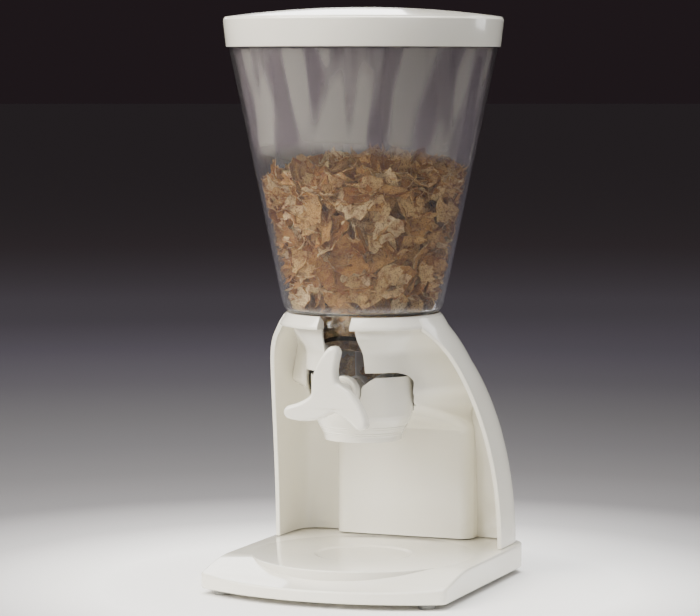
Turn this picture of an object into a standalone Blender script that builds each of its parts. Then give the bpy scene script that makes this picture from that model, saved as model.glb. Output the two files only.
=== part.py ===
# Gravity-fed cereal dispenser: a clear tapered canister stands in the collar of a moulded stand,
# and a three-lobed knob turns a soft paddle wheel in the canister's neck.
# Metres, +Z up, front towards -Y. The origin is under the canister's axis, on the table.

from math import acos, asin, atan2, cos, hypot, pi, radians, sin, sqrt, tan

import bmesh
import bpy
from mathutils import Matrix

# Driving dimensions: base plate
base_half_width = 0.0965
base_half_depth = 0.110
base_front_sag = 0.025
base_rear_sag = 0.006
base_front_corner = 0.008
base_rear_corner = 0.022
base_thickness = 0.019
base_lip_height = 0.0089
base_edge_round = 0.0015
base_wall = 0.0028
slope_start = 0.035
disc_margin = 0.0122
cup_mark_radius = 0.0372
cup_mark_depth = 0.0009
base_rib_width = 0.002
base_rib_offset = 0.046

# Feet
foot_height = 0.0042
foot_radius = 0.0065
foot_stem_radius = 0.0040
foot_stem_length = 0.0035
foot_boss_wall = 0.0022
foot_side_inset = 0.0165
foot_front_inset = 0.0300
foot_rear_inset = 0.0220

# Column: a bell-shaped shell, open to the front, under a seat ring
column_height = 0.1821
shell_wall = 0.0034
shell_side_margin = 0.0040
shell_rear_margin = 0.0045
shell_foot_front = 0.0505
ring_lip_radius = 0.0623
ring_slope_inset = 0.0047
ring_slope_drop = 0.0066
ring_lip_drop = 0.0031
ring_top_land = 0.0010
ring_bore = 0.0490
rim_front_reach = 0.0270
ring_slot_half_width = 0.0126

# Inner housing: a split collar round the neck that sweeps back and ends as a flat-fronted box
collar_wall = 0.0024
collar_gap = 0.0004
collar_waist_drop = 0.0204
collar_flare_drop = 0.0019
collar_front_drop = 0.0326
collar_slot_half_width = 0.0166
arch_half_width = 0.0440
arch_corner = 0.0100
arch_side_height = 0.0130
arch_height = 0.0330
sweep_top_drop = 0.0459
sweep_height = 0.0420
front_flat = 0.0020
box_half_width = 0.0560
box_depth = 0.0225
box_corner = 0.0100
box_floor_gap = 0.0010
housing_fit = 0.0018
leg_angle = radians(20)
leg_turn = radians(40)

# Screws that hold the column down
screw_radius = 0.0015
screw_head_radius = 0.0031
screw_head_height = 0.0020
screw_grip = 0.0120
screw_spacing = 0.0400
screw_inset = 0.0120
screw_boss_radius = 0.0040
screw_boss_height = 0.0180

# Canister
canister_top_radius = 0.09975
canister_height = 0.1889
canister_collar_height = 0.0192
canister_wall = 0.0025
canister_corner = 0.0065
canister_corner_width = 0.0035
canister_corner_height = 0.0066
floor_edge_inset = 0.0006
floor_edge_rise = 0.0008
floor_slope = 0.65
neck_radius = 0.0366
neck_taper = 0.0016
neck_depth = 0.0746
neck_wall = 0.0021
chamber_wall = 0.0016
chamber_head_gap = 0.0020

# Lid and its seal
lid_flare = 0.00215
lid_skirt_height = 0.0202
lid_wall = 0.0018
lid_dome_height = 0.0072
lid_groove = 0.0008
lid_edge_height = 0.0020
lid_plug_gap = 0.00195
lid_plug_wall = 0.0020
lid_plug_depth = 0.0110
seal_bulge = 0.0013
seal_depth = 0.0012
seal_height = 0.0042
seal_drop = 0.0040

# Outlet cup
cup_rim_radius = 0.0392
cup_rim_rise = 0.0103
cup_shoulder_taper = 0.0020
cup_shoulder_drop = 0.0021
cup_outlet_taper = 0.0084
cup_height = 0.0197
cup_wall = 0.0018
cup_mouth_half_width = 0.0215

# Axle, bushes, clip and paddle wheel
axle_rise = 0.0172
journal_radius = 0.0064
rear_journal_radius = 0.0040
key_corner_radius = 0.0061
wheel_radius = 0.0280
wheel_half_length = 0.0150
wheel_hub_radius = 0.0098
vane_thickness = 0.0016
vane_count = 6
bush_radius = 0.0121
bush_length = 0.0086
bush_sleeve_wall = 0.0018
bush_pad_radius = 0.0115
rear_bush_radius = 0.0080
rear_bush_flange = 0.0010
rear_pad_radius = 0.0090
pad_height = 0.0009
clip_radius = 0.0062
clip_thickness = 0.0007
clip_groove_depth = 0.0008

# Knob
knob_radius = 0.0375
knob_reach = 0.0187
knob_thickness = 0.0113
knob_round = 0.0030
knob_hub_radius = 0.0092
knob_socket_depth = 0.0080
knob_stub_radius = 0.0050

# Clearances, the overrun of cuts, and the distance within which points are one
seat_gap = 0.0003
running_gap = 0.00008
axial_gap = 0.0006
pilot_gap = 0.0001
overrun = 0.0100
fine_overrun = 0.0020
weld_distance = 0.00001

# Counts of facets
large_steps = 40
small_steps = 32
pin_steps = 20
corner_steps = 9
leg_steps = 5
bell_row_count = 11
bell_half_count = 16

# Shapes given as shares of the sizes that they follow
bell_flare_share = 2.2
bell_fullness_share = 0.75
bell_spacing_share = 1.7
rim_flare_share = 2.0
rim_fullness_share = 0.9
bell_corner_share = 5.0
sweep_row_shares = (0.0, 0.10, 0.22, 0.34, 0.46, 0.58, 0.70, 0.82, 0.92, 1.0)
flare_row_shares = (0.0, 0.30, 0.55, 0.80, 1.0)
corner_out_share = 0.9
corner_down_share = 0.4
screw_chamfer_share = 0.8
stub_flat_share = 0.6
clip_mouth_share = 0.8
lobe_start_angle = radians(80)
lobe_shares = (
    (96, 0.265), (80, 0.270), (62, 0.315), (47, 0.395), (33, 0.505), (21, 0.640),
    (12, 0.775), (6.5, 0.870), (3.0, 0.905), (0.5, 0.880), (0.0, 0.800), (0.5, 0.670),
    (0.0, 0.540), (-3.0, 0.415), (-10.0, 0.315),
)
cup_shoulder_shares = ((0.88, 0.84), (0.62, 0.64), (0.30, 0.40), (0.08, 0.22), (0.0, 0.14))

# Places worked out from the sizes above: base and column
base_bottom_z = foot_height
base_top_z = base_bottom_z + base_thickness
bowl_disc_radius = base_half_width - disc_margin
column_foot_z = base_top_z + seat_gap
ring_top_z = column_foot_z + column_height
ring_lip_z = ring_top_z - ring_slope_drop
lip_low_z = ring_lip_z - ring_lip_drop
ring_top_radius = ring_lip_radius - ring_slope_inset
shell_foot_half_width = base_half_width - shell_side_margin
shell_foot_rear = base_half_depth - shell_rear_margin
screw_y = shell_foot_rear - screw_inset

# Canister, neck and outlet cup
floor_edge_radius = ring_top_radius - floor_edge_inset
floor_edge_z = ring_top_z + floor_edge_rise
canister_bottom_radius = floor_edge_radius + canister_corner_width
canister_bottom_z = floor_edge_z + canister_corner_height
canister_shoulder_z = canister_bottom_z + canister_height
canister_rim_z = canister_shoulder_z + canister_collar_height
neck_top_z = floor_edge_z - floor_slope * (floor_edge_radius - neck_radius)
neck_end_radius = neck_radius - neck_taper
neck_end_z = floor_edge_z - neck_depth
axle_z = neck_end_z + axle_rise
chamber_top_z = axle_z + wheel_radius + chamber_head_gap
cup_rim_z = axle_z + cup_rim_rise
cup_shoulder_radius = cup_rim_radius - cup_shoulder_taper
cup_shoulder_z = neck_end_z - cup_shoulder_drop
cup_outlet_radius = cup_shoulder_radius - cup_outlet_taper
cup_outlet_z = cup_shoulder_z - cup_height

# Inner housing
collar_radius = cup_rim_radius + collar_gap + collar_wall
collar_flare = ring_bore + collar_wall - collar_radius
housing_top_z = lip_low_z - seat_gap
flare_top_z = lip_low_z - collar_flare_drop
collar_waist_z = lip_low_z - collar_waist_drop
collar_front_z = lip_low_z - collar_front_drop
sweep_top_z = lip_low_z - sweep_top_drop
sweep_low_z = sweep_top_z - sweep_height
box_front_y = shell_foot_rear - box_depth

# Lid
lid_skirt_radius = canister_top_radius + seat_gap + lid_wall
lid_top_radius = lid_skirt_radius + lid_flare
lid_plug_radius = canister_top_radius - canister_wall - lid_plug_gap
lid_seat_z = canister_rim_z + seat_gap
lid_bottom_z = canister_shoulder_z + seat_gap
lid_top_z = lid_bottom_z + lid_skirt_height
lid_dome_z = lid_top_z + lid_edge_height

# Places along the axle
hub_half_length = wheel_half_length + seat_gap
chamber_half = hub_half_length + axial_gap
pad_face_y = neck_end_radius + pad_height
bush_front_y = pad_face_y + bush_length
knob_rear_y = bush_front_y + knob_reach
rear_stop_y = pad_face_y + seat_gap + rear_bush_flange
axle_end_y = rear_stop_y + 2 * clip_thickness


def clear_scene():
    for obj in list(bpy.data.objects):
        bpy.data.objects.remove(obj, do_unlink=True)


def collection(name):
    made = bpy.data.collections.new(name)
    bpy.context.scene.collection.children.link(made)
    return made


def material(name, colour, roughness, metallic=0.0, transmission=0.0):
    made = bpy.data.materials.new(name)
    made.use_nodes = True
    shader = made.node_tree.nodes["Principled BSDF"]
    shader.inputs["Base Color"].default_value = (*colour, 1.0)
    shader.inputs["Roughness"].default_value = roughness
    shader.inputs["Metallic"].default_value = metallic
    shader.inputs["Transmission Weight"].default_value = transmission
    made.diffuse_color = (*colour, 1.0)
    return made


def new_object(name, mesh, look, home):
    obj = bpy.data.objects.new(name, mesh)
    obj.data.materials.append(look)
    home.objects.link(obj)
    if home == cutters:
        obj.hide_render = True
        obj.display_type = "WIRE"
    return obj


def mesh_from(bm, name):
    mesh = bpy.data.meshes.new(name)
    bm.to_mesh(mesh)
    bm.free()
    return mesh


def baked(obj):
    """Replaces the object's mesh with its evaluated one and drops its modifiers."""
    bpy.context.view_layer.update()
    graph = bpy.context.evaluated_depsgraph_get()
    mesh = bpy.data.meshes.new_from_object(obj.evaluated_get(graph))
    obj.modifiers.clear()
    obj.data = mesh
    return obj


def cut(obj, *tools, operation="DIFFERENCE"):
    """Cuts or joins each tool in turn, then bakes the result."""
    for tool in tools:
        step = obj.modifiers.new(operation.title(), "BOOLEAN")
        step.operation = operation
        step.solver = "EXACT"
        step.object = tool
    baked(obj)
    for tool in tools:
        if operation != "DIFFERENCE":
            bpy.data.objects.remove(tool, do_unlink=True)
    return obj


def join(obj, *tools):
    return cut(obj, *tools, operation="UNION")


def keep_within(obj, tool):
    return cut(obj, tool, operation="INTERSECT")


def turned(name, profile, look, home, steps):
    """Revolves a profile at +X about Z. It runs down its outer side; closed unless it ends on the axis."""
    bm = bmesh.new()
    verts = [bm.verts.new((r, 0, z)) for r, z in profile]
    for first, second in zip(verts, verts[1:]):
        bm.edges.new((first, second))
    if profile[0][0] > 0:
        bm.edges.new((verts[-1], verts[0]))
    obj = new_object(name, mesh_from(bm, name), look, home)
    screw = obj.modifiers.new("Screw", "SCREW")
    screw.axis = "Z"
    screw.steps = screw.render_steps = steps
    screw.use_merge_vertices = True
    screw.merge_threshold = weld_distance
    return baked(obj)


def prism(name, outline, low, high, look, home):
    """Extrudes an XY outline, listed anticlockwise, from z = low to z = high."""
    bm = bmesh.new()
    face = bm.faces.new([bm.verts.new((x, y, low)) for x, y in outline])
    raised = bmesh.ops.extrude_face_region(bm, geom=[face])["geom"]
    top = [item for item in raised if isinstance(item, bmesh.types.BMVert)]
    bmesh.ops.translate(bm, vec=(0, 0, high - low), verts=top)
    bmesh.ops.recalc_face_normals(bm, faces=bm.faces)
    return new_object(name, mesh_from(bm, name), look, home)


def side_prism(name, outline, half_width, look, home):
    """Extrudes a YZ outline from x = -half_width to +half_width."""
    obj = prism(name, outline, -half_width, half_width, look, home)
    obj.data.transform(Matrix(((0, 0, 1, 0), (1, 0, 0, 0), (0, 1, 0, 0), (0, 0, 0, 1))))
    return obj


def front_prism(name, outline, near, far, look, home):
    """Extrudes an XZ outline from y = near to y = far."""
    obj = prism(name, outline, -far, -near, look, home)
    obj.data.transform(Matrix(((1, 0, 0, 0), (0, 0, -1, 0), (0, 1, 0, 0), (0, 0, 0, 1))))
    return obj


def cylinder(name, radius, low, high, look, home, steps, at=(0, 0)):
    bm = bmesh.new()
    placed = Matrix.Translation((at[0], at[1], (low + high) / 2))
    bmesh.ops.create_cone(
        bm, cap_ends=True, segments=steps, radius1=radius, radius2=radius, depth=high - low, matrix=placed
    )
    return new_object(name, mesh_from(bm, name), look, home)


def cross_cylinder(name, radius, near, far, look, home, steps, z):
    """A cylinder along Y, from y = near to y = far, at height z."""
    obj = cylinder(name, radius, near, far, look, home, steps)
    obj.data.transform(Matrix.Translation((0, 0, z)) @ Matrix.Rotation(-pi / 2, 4, "X"))
    return obj


def block(name, low, high, look, home):
    bm = bmesh.new()
    size = [b - a for a, b in zip(low, high)]
    middle = [(a + b) / 2 for a, b in zip(low, high)]
    placed = Matrix.Translation(middle) @ Matrix.Diagonal((*size, 1))
    bmesh.ops.create_cube(bm, size=1, matrix=placed)
    return new_object(name, mesh_from(bm, name), look, home)


def arc(centre, radius, start, end, count):
    """Points on a circle from angle start to angle end, both included."""
    turn = (end - start) / count
    return [
        (centre[0] + radius * cos(start + turn * i), centre[1] + radius * sin(start + turn * i))
        for i in range(count + 1)
    ]


def bowed_outline(half_width, half_depth, front_sag, rear_sag, front_corner, rear_corner, inset=0.0):
    """An outline with straight sides and bowed ends, its corners rounded, drawn anticlockwise."""
    front_bow = (half_width**2 + front_sag**2) / (2 * front_sag)
    rear_bow = (half_width**2 + rear_sag**2) / (2 * rear_sag)
    front_centre = front_bow - half_depth
    rear_centre = half_depth - rear_bow
    corner_x = half_width - front_corner
    front_y = front_centre - sqrt((front_bow - front_corner) ** 2 - corner_x**2)
    front_turn = atan2(front_y - front_centre, corner_x)
    rear_x = half_width - rear_corner
    rear_y = rear_centre + sqrt((rear_bow - rear_corner) ** 2 - rear_x**2)
    rear_turn = atan2(rear_y - rear_centre, rear_x)
    right = arc((corner_x, front_y), front_corner - inset, front_turn, 0, 5)
    right += arc((rear_x, rear_y), rear_corner - inset, 0, rear_turn, 7)
    rear = arc((0, rear_centre), rear_bow - inset, rear_turn, pi - rear_turn, 8)[1:-1]
    left = [(-x, y) for x, y in reversed(right)]
    front = arc((0, front_centre), front_bow - inset, -pi - front_turn, front_turn, 16)[1:-1]
    return right + rear + left + front


def slope_height(y):
    """Height of the base's top at y: level at the rear, then an S-shaped fall to the front lip."""
    share = min(max((-y - slope_start) / (base_half_depth - slope_start), 0), 1)
    fall = base_thickness - base_lip_height
    return base_top_z - fall * share * share * (3 - 2 * share)


def slope_cutter(name, drop):
    """What lies over the sloping front of the base, lowered by drop."""
    reach = base_half_depth + fine_overrun
    count = 12
    run = (reach - slope_start) / count
    places = [-slope_start - run * i for i in range(count + 1)]
    outline = [(y, slope_height(y) - drop) for y in places]
    top = base_top_z + overrun
    outline += [(-reach, top), (-slope_start + fine_overrun, top)]
    outline += [(-slope_start + fine_overrun, base_top_z - drop + seat_gap)]
    return side_prism(name, outline, base_half_width + overrun, plain, cutters)


def foot_places():
    x = base_half_width - foot_side_inset
    front = foot_front_inset - base_half_depth
    rear = base_half_depth - foot_rear_inset
    return {
        "foot_front_left": (-x, front),
        "foot_front_right": (x, front),
        "foot_rear_left": (-x, rear),
        "foot_rear_right": (x, rear),
    }


def screw_places():
    return [(-screw_spacing, screw_y), (0, screw_y), (screw_spacing, screw_y)]


def make_base():
    sizes = (base_half_width, base_half_depth, base_front_sag, base_rear_sag)
    corners = (base_front_corner, base_rear_corner)
    outline = bowed_outline(*sizes, *corners)
    base = prism("base_plate", outline, base_bottom_z, base_top_z, ivory, parts)
    bevel = base.modifiers.new("Bevel", "BEVEL")
    bevel.width = base_edge_round
    bevel.segments = 2
    bevel.limit_method = "ANGLE"
    bevel.angle_limit = radians(60)
    baked(base)
    slope = slope_cutter("slope", 0)
    disc = cylinder(
        "bowl_disc", bowl_disc_radius, base_bottom_z, base_top_z + 2 * overrun, plain, cutters, large_steps
    )
    cut(slope, disc)
    mark_low = base_top_z - cup_mark_depth
    mark = cylinder(
        "cup_mark", cup_mark_radius, mark_low, base_top_z + overrun, plain, cutters, large_steps
    )
    hollow_line = bowed_outline(*sizes, *corners, base_wall)
    hollow_top = base_top_z - base_wall
    hollow = prism("hollow", hollow_line, base_bottom_z - overrun, hollow_top, plain, cutters)
    cut(hollow, slope_cutter("hollow_slope", base_wall))
    under_disc = cylinder(
        "under_disc",
        bowl_disc_radius - base_wall,
        base_bottom_z - overrun,
        hollow_top - cup_mark_depth,
        plain,
        cutters,
        large_steps,
    )
    cut(base, slope, mark, hollow, under_disc)
    rib_top = hollow_top + base_wall / 2
    ribs = []
    reach = base_half_depth - 2 * base_wall - base_front_sag / 2
    for index, x in enumerate((-base_rib_offset, base_rib_offset)):
        low = (x - base_rib_width / 2, -reach, base_bottom_z + base_rib_width)
        high = (x + base_rib_width / 2, base_half_depth - base_rear_sag, rib_top)
        rib = block(f"rib_{index}", low, high, plain, cutters)
        ribs.append(cut(rib, slope_cutter(f"rib_slope_{index}", base_wall / 2)))
    for name, (x, y) in foot_places().items():
        radius = foot_stem_radius + seat_gap + foot_boss_wall
        post = cylinder(f"{name}_post", radius, base_bottom_z, rib_top, plain, cutters, pin_steps, (x, y))
        ribs.append(cut(post, slope_cutter(f"{name}_slope", base_wall / 2)))
    for index, place in enumerate(screw_places()):
        low = base_bottom_z + screw_head_height + seat_gap
        radius = screw_boss_radius + seat_gap
        post = cylinder(f"post_{index}", radius, low, rib_top, plain, cutters, pin_steps, place)
        ribs.append(post)
    join(base, *ribs)
    holes = []
    for name, place in foot_places().items():
        top = base_bottom_z + foot_stem_length + seat_gap
        radius = foot_stem_radius + seat_gap
        holes.append(
            cylinder(f"{name}_hole", radius, base_bottom_z - overrun, top, plain, cutters, pin_steps, place)
        )
    for index, place in enumerate(screw_places()):
        holes.append(
            cylinder(
                f"screw_hole_{index}",
                screw_radius + seat_gap,
                base_bottom_z - overrun,
                base_top_z + overrun,
                plain,
                cutters,
                pin_steps,
                place,
            )
        )
    return cut(base, *holes)


def make_feet():
    pad = foot_height - seat_gap
    profile = [
        (0, pad + foot_stem_length),
        (foot_stem_radius, pad + foot_stem_length),
        (foot_stem_radius, pad),
        (foot_radius, pad),
        (foot_radius, 0),
        (0, 0),
    ]
    for name, (x, y) in foot_places().items():
        foot = turned(name, profile, clear_rubber, parts, pin_steps)
        foot.location = (x, y, 0)


def bell_share(fall, flare, fullness):
    """Share of the full flare reached at a share of the fall from ring to foot."""
    return (1 - (1 - fall) ** flare) ** fullness


def bell_section(fall, inset, count):
    """Points of the column's plan at a share of its fall, from the right rim round the back to the left."""
    flare = bell_share(fall, bell_flare_share, bell_fullness_share)
    width = ring_lip_radius + (shell_foot_half_width - ring_lip_radius) * flare - inset
    rear = ring_lip_radius + (shell_foot_rear - ring_lip_radius) * flare - inset
    rim_y = -rim_front_reach + (shell_foot_front + rim_front_reach) * bell_share(
        fall, rim_flare_share, rim_fullness_share
    )
    centre = max(rim_y, 0)
    squareness = 2 + bell_corner_share * fall
    dense = []
    if rim_y < 0:
        start = asin(rim_y / width)
        dense += arc((0, 0), width, start, 0, 12)[:-1]
    for i in range(91):
        turn = pi / 180 * i
        x = width * cos(turn) ** (2 / squareness)
        dense.append((x, centre + (rear - centre) * sin(turn) ** (2 / squareness)))
    dense[-1] = (0, rear)
    half = spaced(dense, count)
    return half + [(-x, y) for x, y in reversed(half[:-1])]


def spaced(points, count):
    """The same line as count + 1 points at even distances."""
    lengths = [0]
    for (ax, ay), (bx, by) in zip(points, points[1:]):
        lengths.append(lengths[-1] + hypot(bx - ax, by - ay))
    made = [points[0]]
    step = 1
    for i in range(1, count):
        aim = lengths[-1] * i / count
        while lengths[step] < aim:
            step += 1
        share = (aim - lengths[step - 1]) / (lengths[step] - lengths[step - 1])
        (ax, ay), (bx, by) = points[step - 1], points[step]
        made.append((ax + (bx - ax) * share, ay + (by - ay) * share))
    return made + [points[-1]]


def bell_rows(rows, inset, count):
    """Rows of points from ring to foot, closer together where the bell turns most."""
    made = []
    for i in range(rows + 1):
        fall = (i / rows) ** bell_spacing_share
        z = lip_low_z + (column_foot_z - lip_low_z) * fall
        made.append([(x, y, z) for x, y in bell_section(fall, inset, count)])
    return made


def loft(name, rows, closed, look, home):
    """Skins rows of equal length. A closed loft joins each row's ends and caps the first and last row."""
    bm = bmesh.new()
    grid = [[bm.verts.new(point) for point in row] for row in rows]
    for upper, lower in zip(grid, grid[1:]):
        pairs = list(zip(range(len(upper)), range(1, len(upper))))
        if closed:
            pairs.append((len(upper) - 1, 0))
        for a, b in pairs:
            bm.faces.new((upper[a], lower[a], lower[b], upper[b]))
    if closed:
        bm.faces.new(grid[0])
        bm.faces.new(list(reversed(grid[-1])))
    bmesh.ops.recalc_face_normals(bm, faces=bm.faces)
    return new_object(name, mesh_from(bm, name), look, home)


def make_bell():
    """The open sheet of the bell, thickened inwards. Its top row sinks into the seat ring."""
    rows = bell_rows(bell_row_count, 0, bell_half_count)
    sink = ring_lip_drop + (ring_top_z - ring_lip_z) / 2
    slide = (ring_lip_radius - ring_top_radius) / 2 + base_edge_round / 2
    share = 1 - slide / ring_lip_radius
    top = [(x * share, y * share, z + sink) for x, y, z in rows[0]]
    bell = loft("bell", [top] + rows, False, ivory, cutters)
    if bell.data.polygons[len(bell.data.polygons) // 2].normal.y < 0:
        bell.data.flip_normals()
    thick = bell.modifiers.new("Solidify", "SOLIDIFY")
    thick.thickness = shell_wall
    thick.offset = -1
    thick.use_even_offset = True
    return baked(bell)


def seat_height(radius):
    """Height of the seat's slope, under the canister's floor by the seat gap."""
    lift = seat_gap * sqrt(1 + floor_slope**2)
    return floor_edge_z - floor_slope * (floor_edge_radius - radius) - lift


def ring_profile():
    """The seat ring in section: down the outside, then up the inside."""
    return [
        (ring_top_radius - ring_top_land, ring_top_z),
        (ring_top_radius, ring_top_z),
        (ring_lip_radius, ring_lip_z),
        (ring_lip_radius, lip_low_z),
        (ring_bore, lip_low_z),
        (ring_bore, seat_height(ring_bore)),
    ]


def make_column():
    column = turned("column_shell", ring_profile(), ivory, parts, large_steps)
    join(column, make_bell())
    slot = block(
        "ring_slot",
        (-ring_slot_half_width, -ring_lip_radius - overrun, lip_low_z - overrun),
        (ring_slot_half_width, 0, ring_top_z + overrun),
        plain,
        cutters,
    )
    posts = []
    for index, (x, y) in enumerate(screw_places()):
        high = column_foot_z + screw_boss_height
        post = cylinder(
            f"boss_{index}", screw_boss_radius, column_foot_z, high, plain, cutters, pin_steps, (x, y)
        )
        web = block(
            f"web_{index}",
            (x - base_rib_width / 2, y, column_foot_z),
            (x + base_rib_width / 2, shell_foot_rear - shell_wall / 2, high),
            plain,
            cutters,
        )
        posts += [post, web]
    join(column, *posts)
    pilots = []
    for index, place in enumerate(screw_places()):
        high = column_foot_z + screw_grip + seat_gap
        pilots.append(
            cylinder(
                f"pilot_{index}",
                screw_radius + pilot_gap,
                column_foot_z - overrun,
                high,
                plain,
                cutters,
                pin_steps,
                place,
            )
        )
    return cut(column, slot, *pilots)


def eased_share(value, low, high):
    """How far value lies between low and high, as a share that starts and ends gently."""
    share = min(max((value - low) / (high - low), 0), 1)
    return share * share * (3 - 2 * share)


def housing_section(z, inset):
    """Plan of the housing at a height: a U open to the rear, from its left leg round to its right."""
    sweep = eased_share(z, sweep_low_z, sweep_top_z)
    flare = collar_flare * eased_share(z, collar_waist_z, flare_top_z)
    half = box_half_width + (collar_radius - box_half_width) * sweep + flare
    front = box_front_y - (collar_radius + box_front_y) * sweep - flare
    flat = (box_half_width - box_corner) * (1 - sweep) + front_flat * sweep
    corner = half - flat
    angle = leg_angle * sweep
    line = arc((flat, front + corner), corner - inset, -pi / 2, -angle, corner_steps)
    stride = (shell_foot_rear + overrun + box_depth) / leg_steps
    for _ in range(leg_steps):
        angle += leg_turn * sweep / leg_steps
        x, y = line[-1]
        line.append((x + stride * sin(angle), y + stride * cos(angle)))
    return [(-x, y) for x, y in reversed(line)] + line


def housing_block(name, inset, extra, look, home):
    """The outside or the inside of the housing as a closed block, longer by extra at both ends."""
    low = base_top_z + box_floor_gap
    heights = [low - extra]
    heights += [sweep_low_z + sweep_height * share for share in sweep_row_shares]
    heights += [collar_waist_z + (flare_top_z - collar_waist_z) * share for share in flare_row_shares]
    heights.append(housing_top_z + extra)
    rows = [[(x, y, z) for x, y in housing_section(z, inset)] for z in heights]
    return loft(name, rows, True, look, home)


def make_housing():
    """The inner housing: its legs end at the column's wall, and it is cut away round the outlet cup."""
    housing = housing_block("column_box", 0, 0, ivory, parts)
    rows = []
    for row in bell_rows(bell_row_count, shell_wall + housing_fit, bell_half_count):
        (right, _, z), (left, _, _) = row[0], row[-1]
        rows.append(row + [(left, -ring_lip_radius - overrun, z), (right, -ring_lip_radius - overrun, z)])
    keep_within(housing, loft("room", rows, True, plain, cutters))
    inside = housing_block("housing_inside", collar_wall, overrun, plain, cutters)
    near = -ring_lip_radius - overrun
    slot_line = [
        (-collar_slot_half_width, collar_front_z - arch_height),
        (collar_slot_half_width, collar_front_z - arch_height),
        (collar_slot_half_width, collar_front_z),
        (ring_slot_half_width, lip_low_z),
        (ring_slot_half_width, lip_low_z + overrun),
        (-ring_slot_half_width, lip_low_z + overrun),
        (-ring_slot_half_width, lip_low_z),
        (-collar_slot_half_width, collar_front_z),
    ]
    slot = front_prism("collar_slot", slot_line, near, 0, plain, cutters)
    bend = arch_half_width - arch_corner
    cup_half = cup_rim_radius + collar_gap
    side_z = collar_front_z - arch_side_height
    arch_line = [(cup_half, collar_front_z - arch_height), (cup_half, side_z - arch_corner / 2)]
    arch_line += [(arch_half_width, side_z)]
    arch_line += arc((bend, collar_front_z - arch_corner), arch_corner, 0, pi / 2, 5)
    arch_line += [(-x, z) for x, z in reversed(arch_line)]
    arch = front_prism("collar_arch", arch_line, near, 0, plain, cutters)
    shaft_low = cup_outlet_z - overrun
    shaft_top = collar_front_z - fine_overrun
    shaft = cylinder("cup_shaft", cup_half, shaft_low, shaft_top, plain, cutters, large_steps)
    return cut(housing, inside, slot, arch, shaft)


def make_screws():
    head_low = base_bottom_z + seat_gap / 2
    for index, (x, y) in enumerate(screw_places()):
        top = column_foot_z + screw_grip
        head_top = head_low + screw_head_height
        profile = [
            (0, top),
            (screw_radius, top),
            (screw_radius, head_top),
            (screw_head_radius, head_top),
            (screw_head_radius, head_low + screw_radius / 3),
            (screw_head_radius * screw_chamfer_share, head_low),
            (0, head_low),
        ]
        screw = turned(f"column_screw_{index + 1}", profile, steel, parts, pin_steps)
        screw.location = (x, y, 0)


def canister_outside():
    """Outer side of the canister, from its rim down to the end of its neck."""
    lean = (canister_top_radius - canister_bottom_radius) / (canister_shoulder_z - canister_bottom_z)
    corner = []
    for i in range(1, 5):
        share = i / 5
        x = canister_bottom_radius + (floor_edge_radius - canister_bottom_radius) * share
        z = canister_bottom_z + (floor_edge_z - canister_bottom_z) * share
        bulge = canister_corner / 5 * sin(pi * share)
        corner.append((x + bulge * corner_out_share, z - bulge * corner_down_share))
    return (
        [(canister_top_radius, canister_rim_z), (canister_top_radius, canister_shoulder_z)]
        + [(canister_bottom_radius + lean * canister_wall, canister_bottom_z + canister_wall)]
        + corner
        + [(floor_edge_radius, floor_edge_z), (neck_radius, neck_top_z), (neck_end_radius, neck_end_z)]
    )


def inset_line(points, distance):
    """The same line moved inwards, to the left of its direction of travel down the outer side."""
    moved = []
    for i, (x, z) in enumerate(points):
        sides = []
        if i > 0:
            sides.append((x - points[i - 1][0], z - points[i - 1][1]))
        if i < len(points) - 1:
            sides.append((points[i + 1][0] - x, points[i + 1][1] - z))
        normals = [(dz / hypot(dx, dz), -dx / hypot(dx, dz)) for dx, dz in sides]
        nx = sum(n[0] for n in normals)
        nz = sum(n[1] for n in normals)
        scale = distance * len(normals) / (nx * nx + nz * nz)
        moved.append((x + nx * scale, z + nz * scale))
    return moved


def make_canister():
    outside = canister_outside()
    inside = inset_line(outside[:-2], canister_wall)
    throat = neck_radius - neck_wall
    last_x, last_z = inside[-1]
    throat_z = last_z - floor_slope * (last_x - throat)
    inside += [(throat, throat_z), (neck_end_radius - neck_wall, neck_end_z)]
    canister = turned("canister", outside + list(reversed(inside)), clear_plastic, parts, large_steps)
    core_line = [
        (0, throat_z),
        (neck_radius - neck_wall / 2, throat_z),
        (neck_end_radius - neck_wall / 2, neck_end_z),
        (0, neck_end_z),
    ]
    core = turned("neck_core", core_line, plain, cutters, large_steps)
    walls = []
    roof_rise = throat - chamber_half
    for index, side in enumerate((-1, 1)):
        line = [
            (side * chamber_half, neck_end_z),
            (side * (chamber_half + chamber_wall), neck_end_z),
            (side * (chamber_half + chamber_wall), chamber_top_z - chamber_wall),
            (side * neck_radius, chamber_top_z - 2 * chamber_wall + roof_rise * floor_slope),
            (side * neck_radius, chamber_top_z + roof_rise * floor_slope),
            (side * chamber_half, chamber_top_z),
        ]
        wall = side_prism(f"chamber_{index}", line, neck_radius, plain, cutters)
        keep = core.copy()
        keep.data = core.data.copy()
        cutters.objects.link(keep)
        walls.append(keep_within(wall, keep))
    reach = neck_end_radius - neck_wall
    walls.append(
        cross_cylinder("front_pad", bush_pad_radius, -pad_face_y, -reach, plain, cutters, pin_steps, axle_z)
    )
    walls.append(
        cross_cylinder("rear_pad", rear_pad_radius, reach, pad_face_y, plain, cutters, pin_steps, axle_z)
    )
    join(canister, *walls)
    far = pad_face_y + overrun
    front_radius = bush_sleeve_radius() + seat_gap
    rear_radius = rear_sleeve_radius() + seat_gap
    front = cross_cylinder("front_bore", front_radius, -far, 0, plain, cutters, pin_steps, axle_z)
    rear = cross_cylinder("rear_bore", rear_radius, 0, far, plain, cutters, pin_steps, axle_z)
    return cut(canister, front, rear)


def bush_sleeve_radius():
    return journal_radius + running_gap + bush_sleeve_wall


def rear_sleeve_radius():
    return rear_journal_radius + running_gap + bush_sleeve_wall


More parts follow.
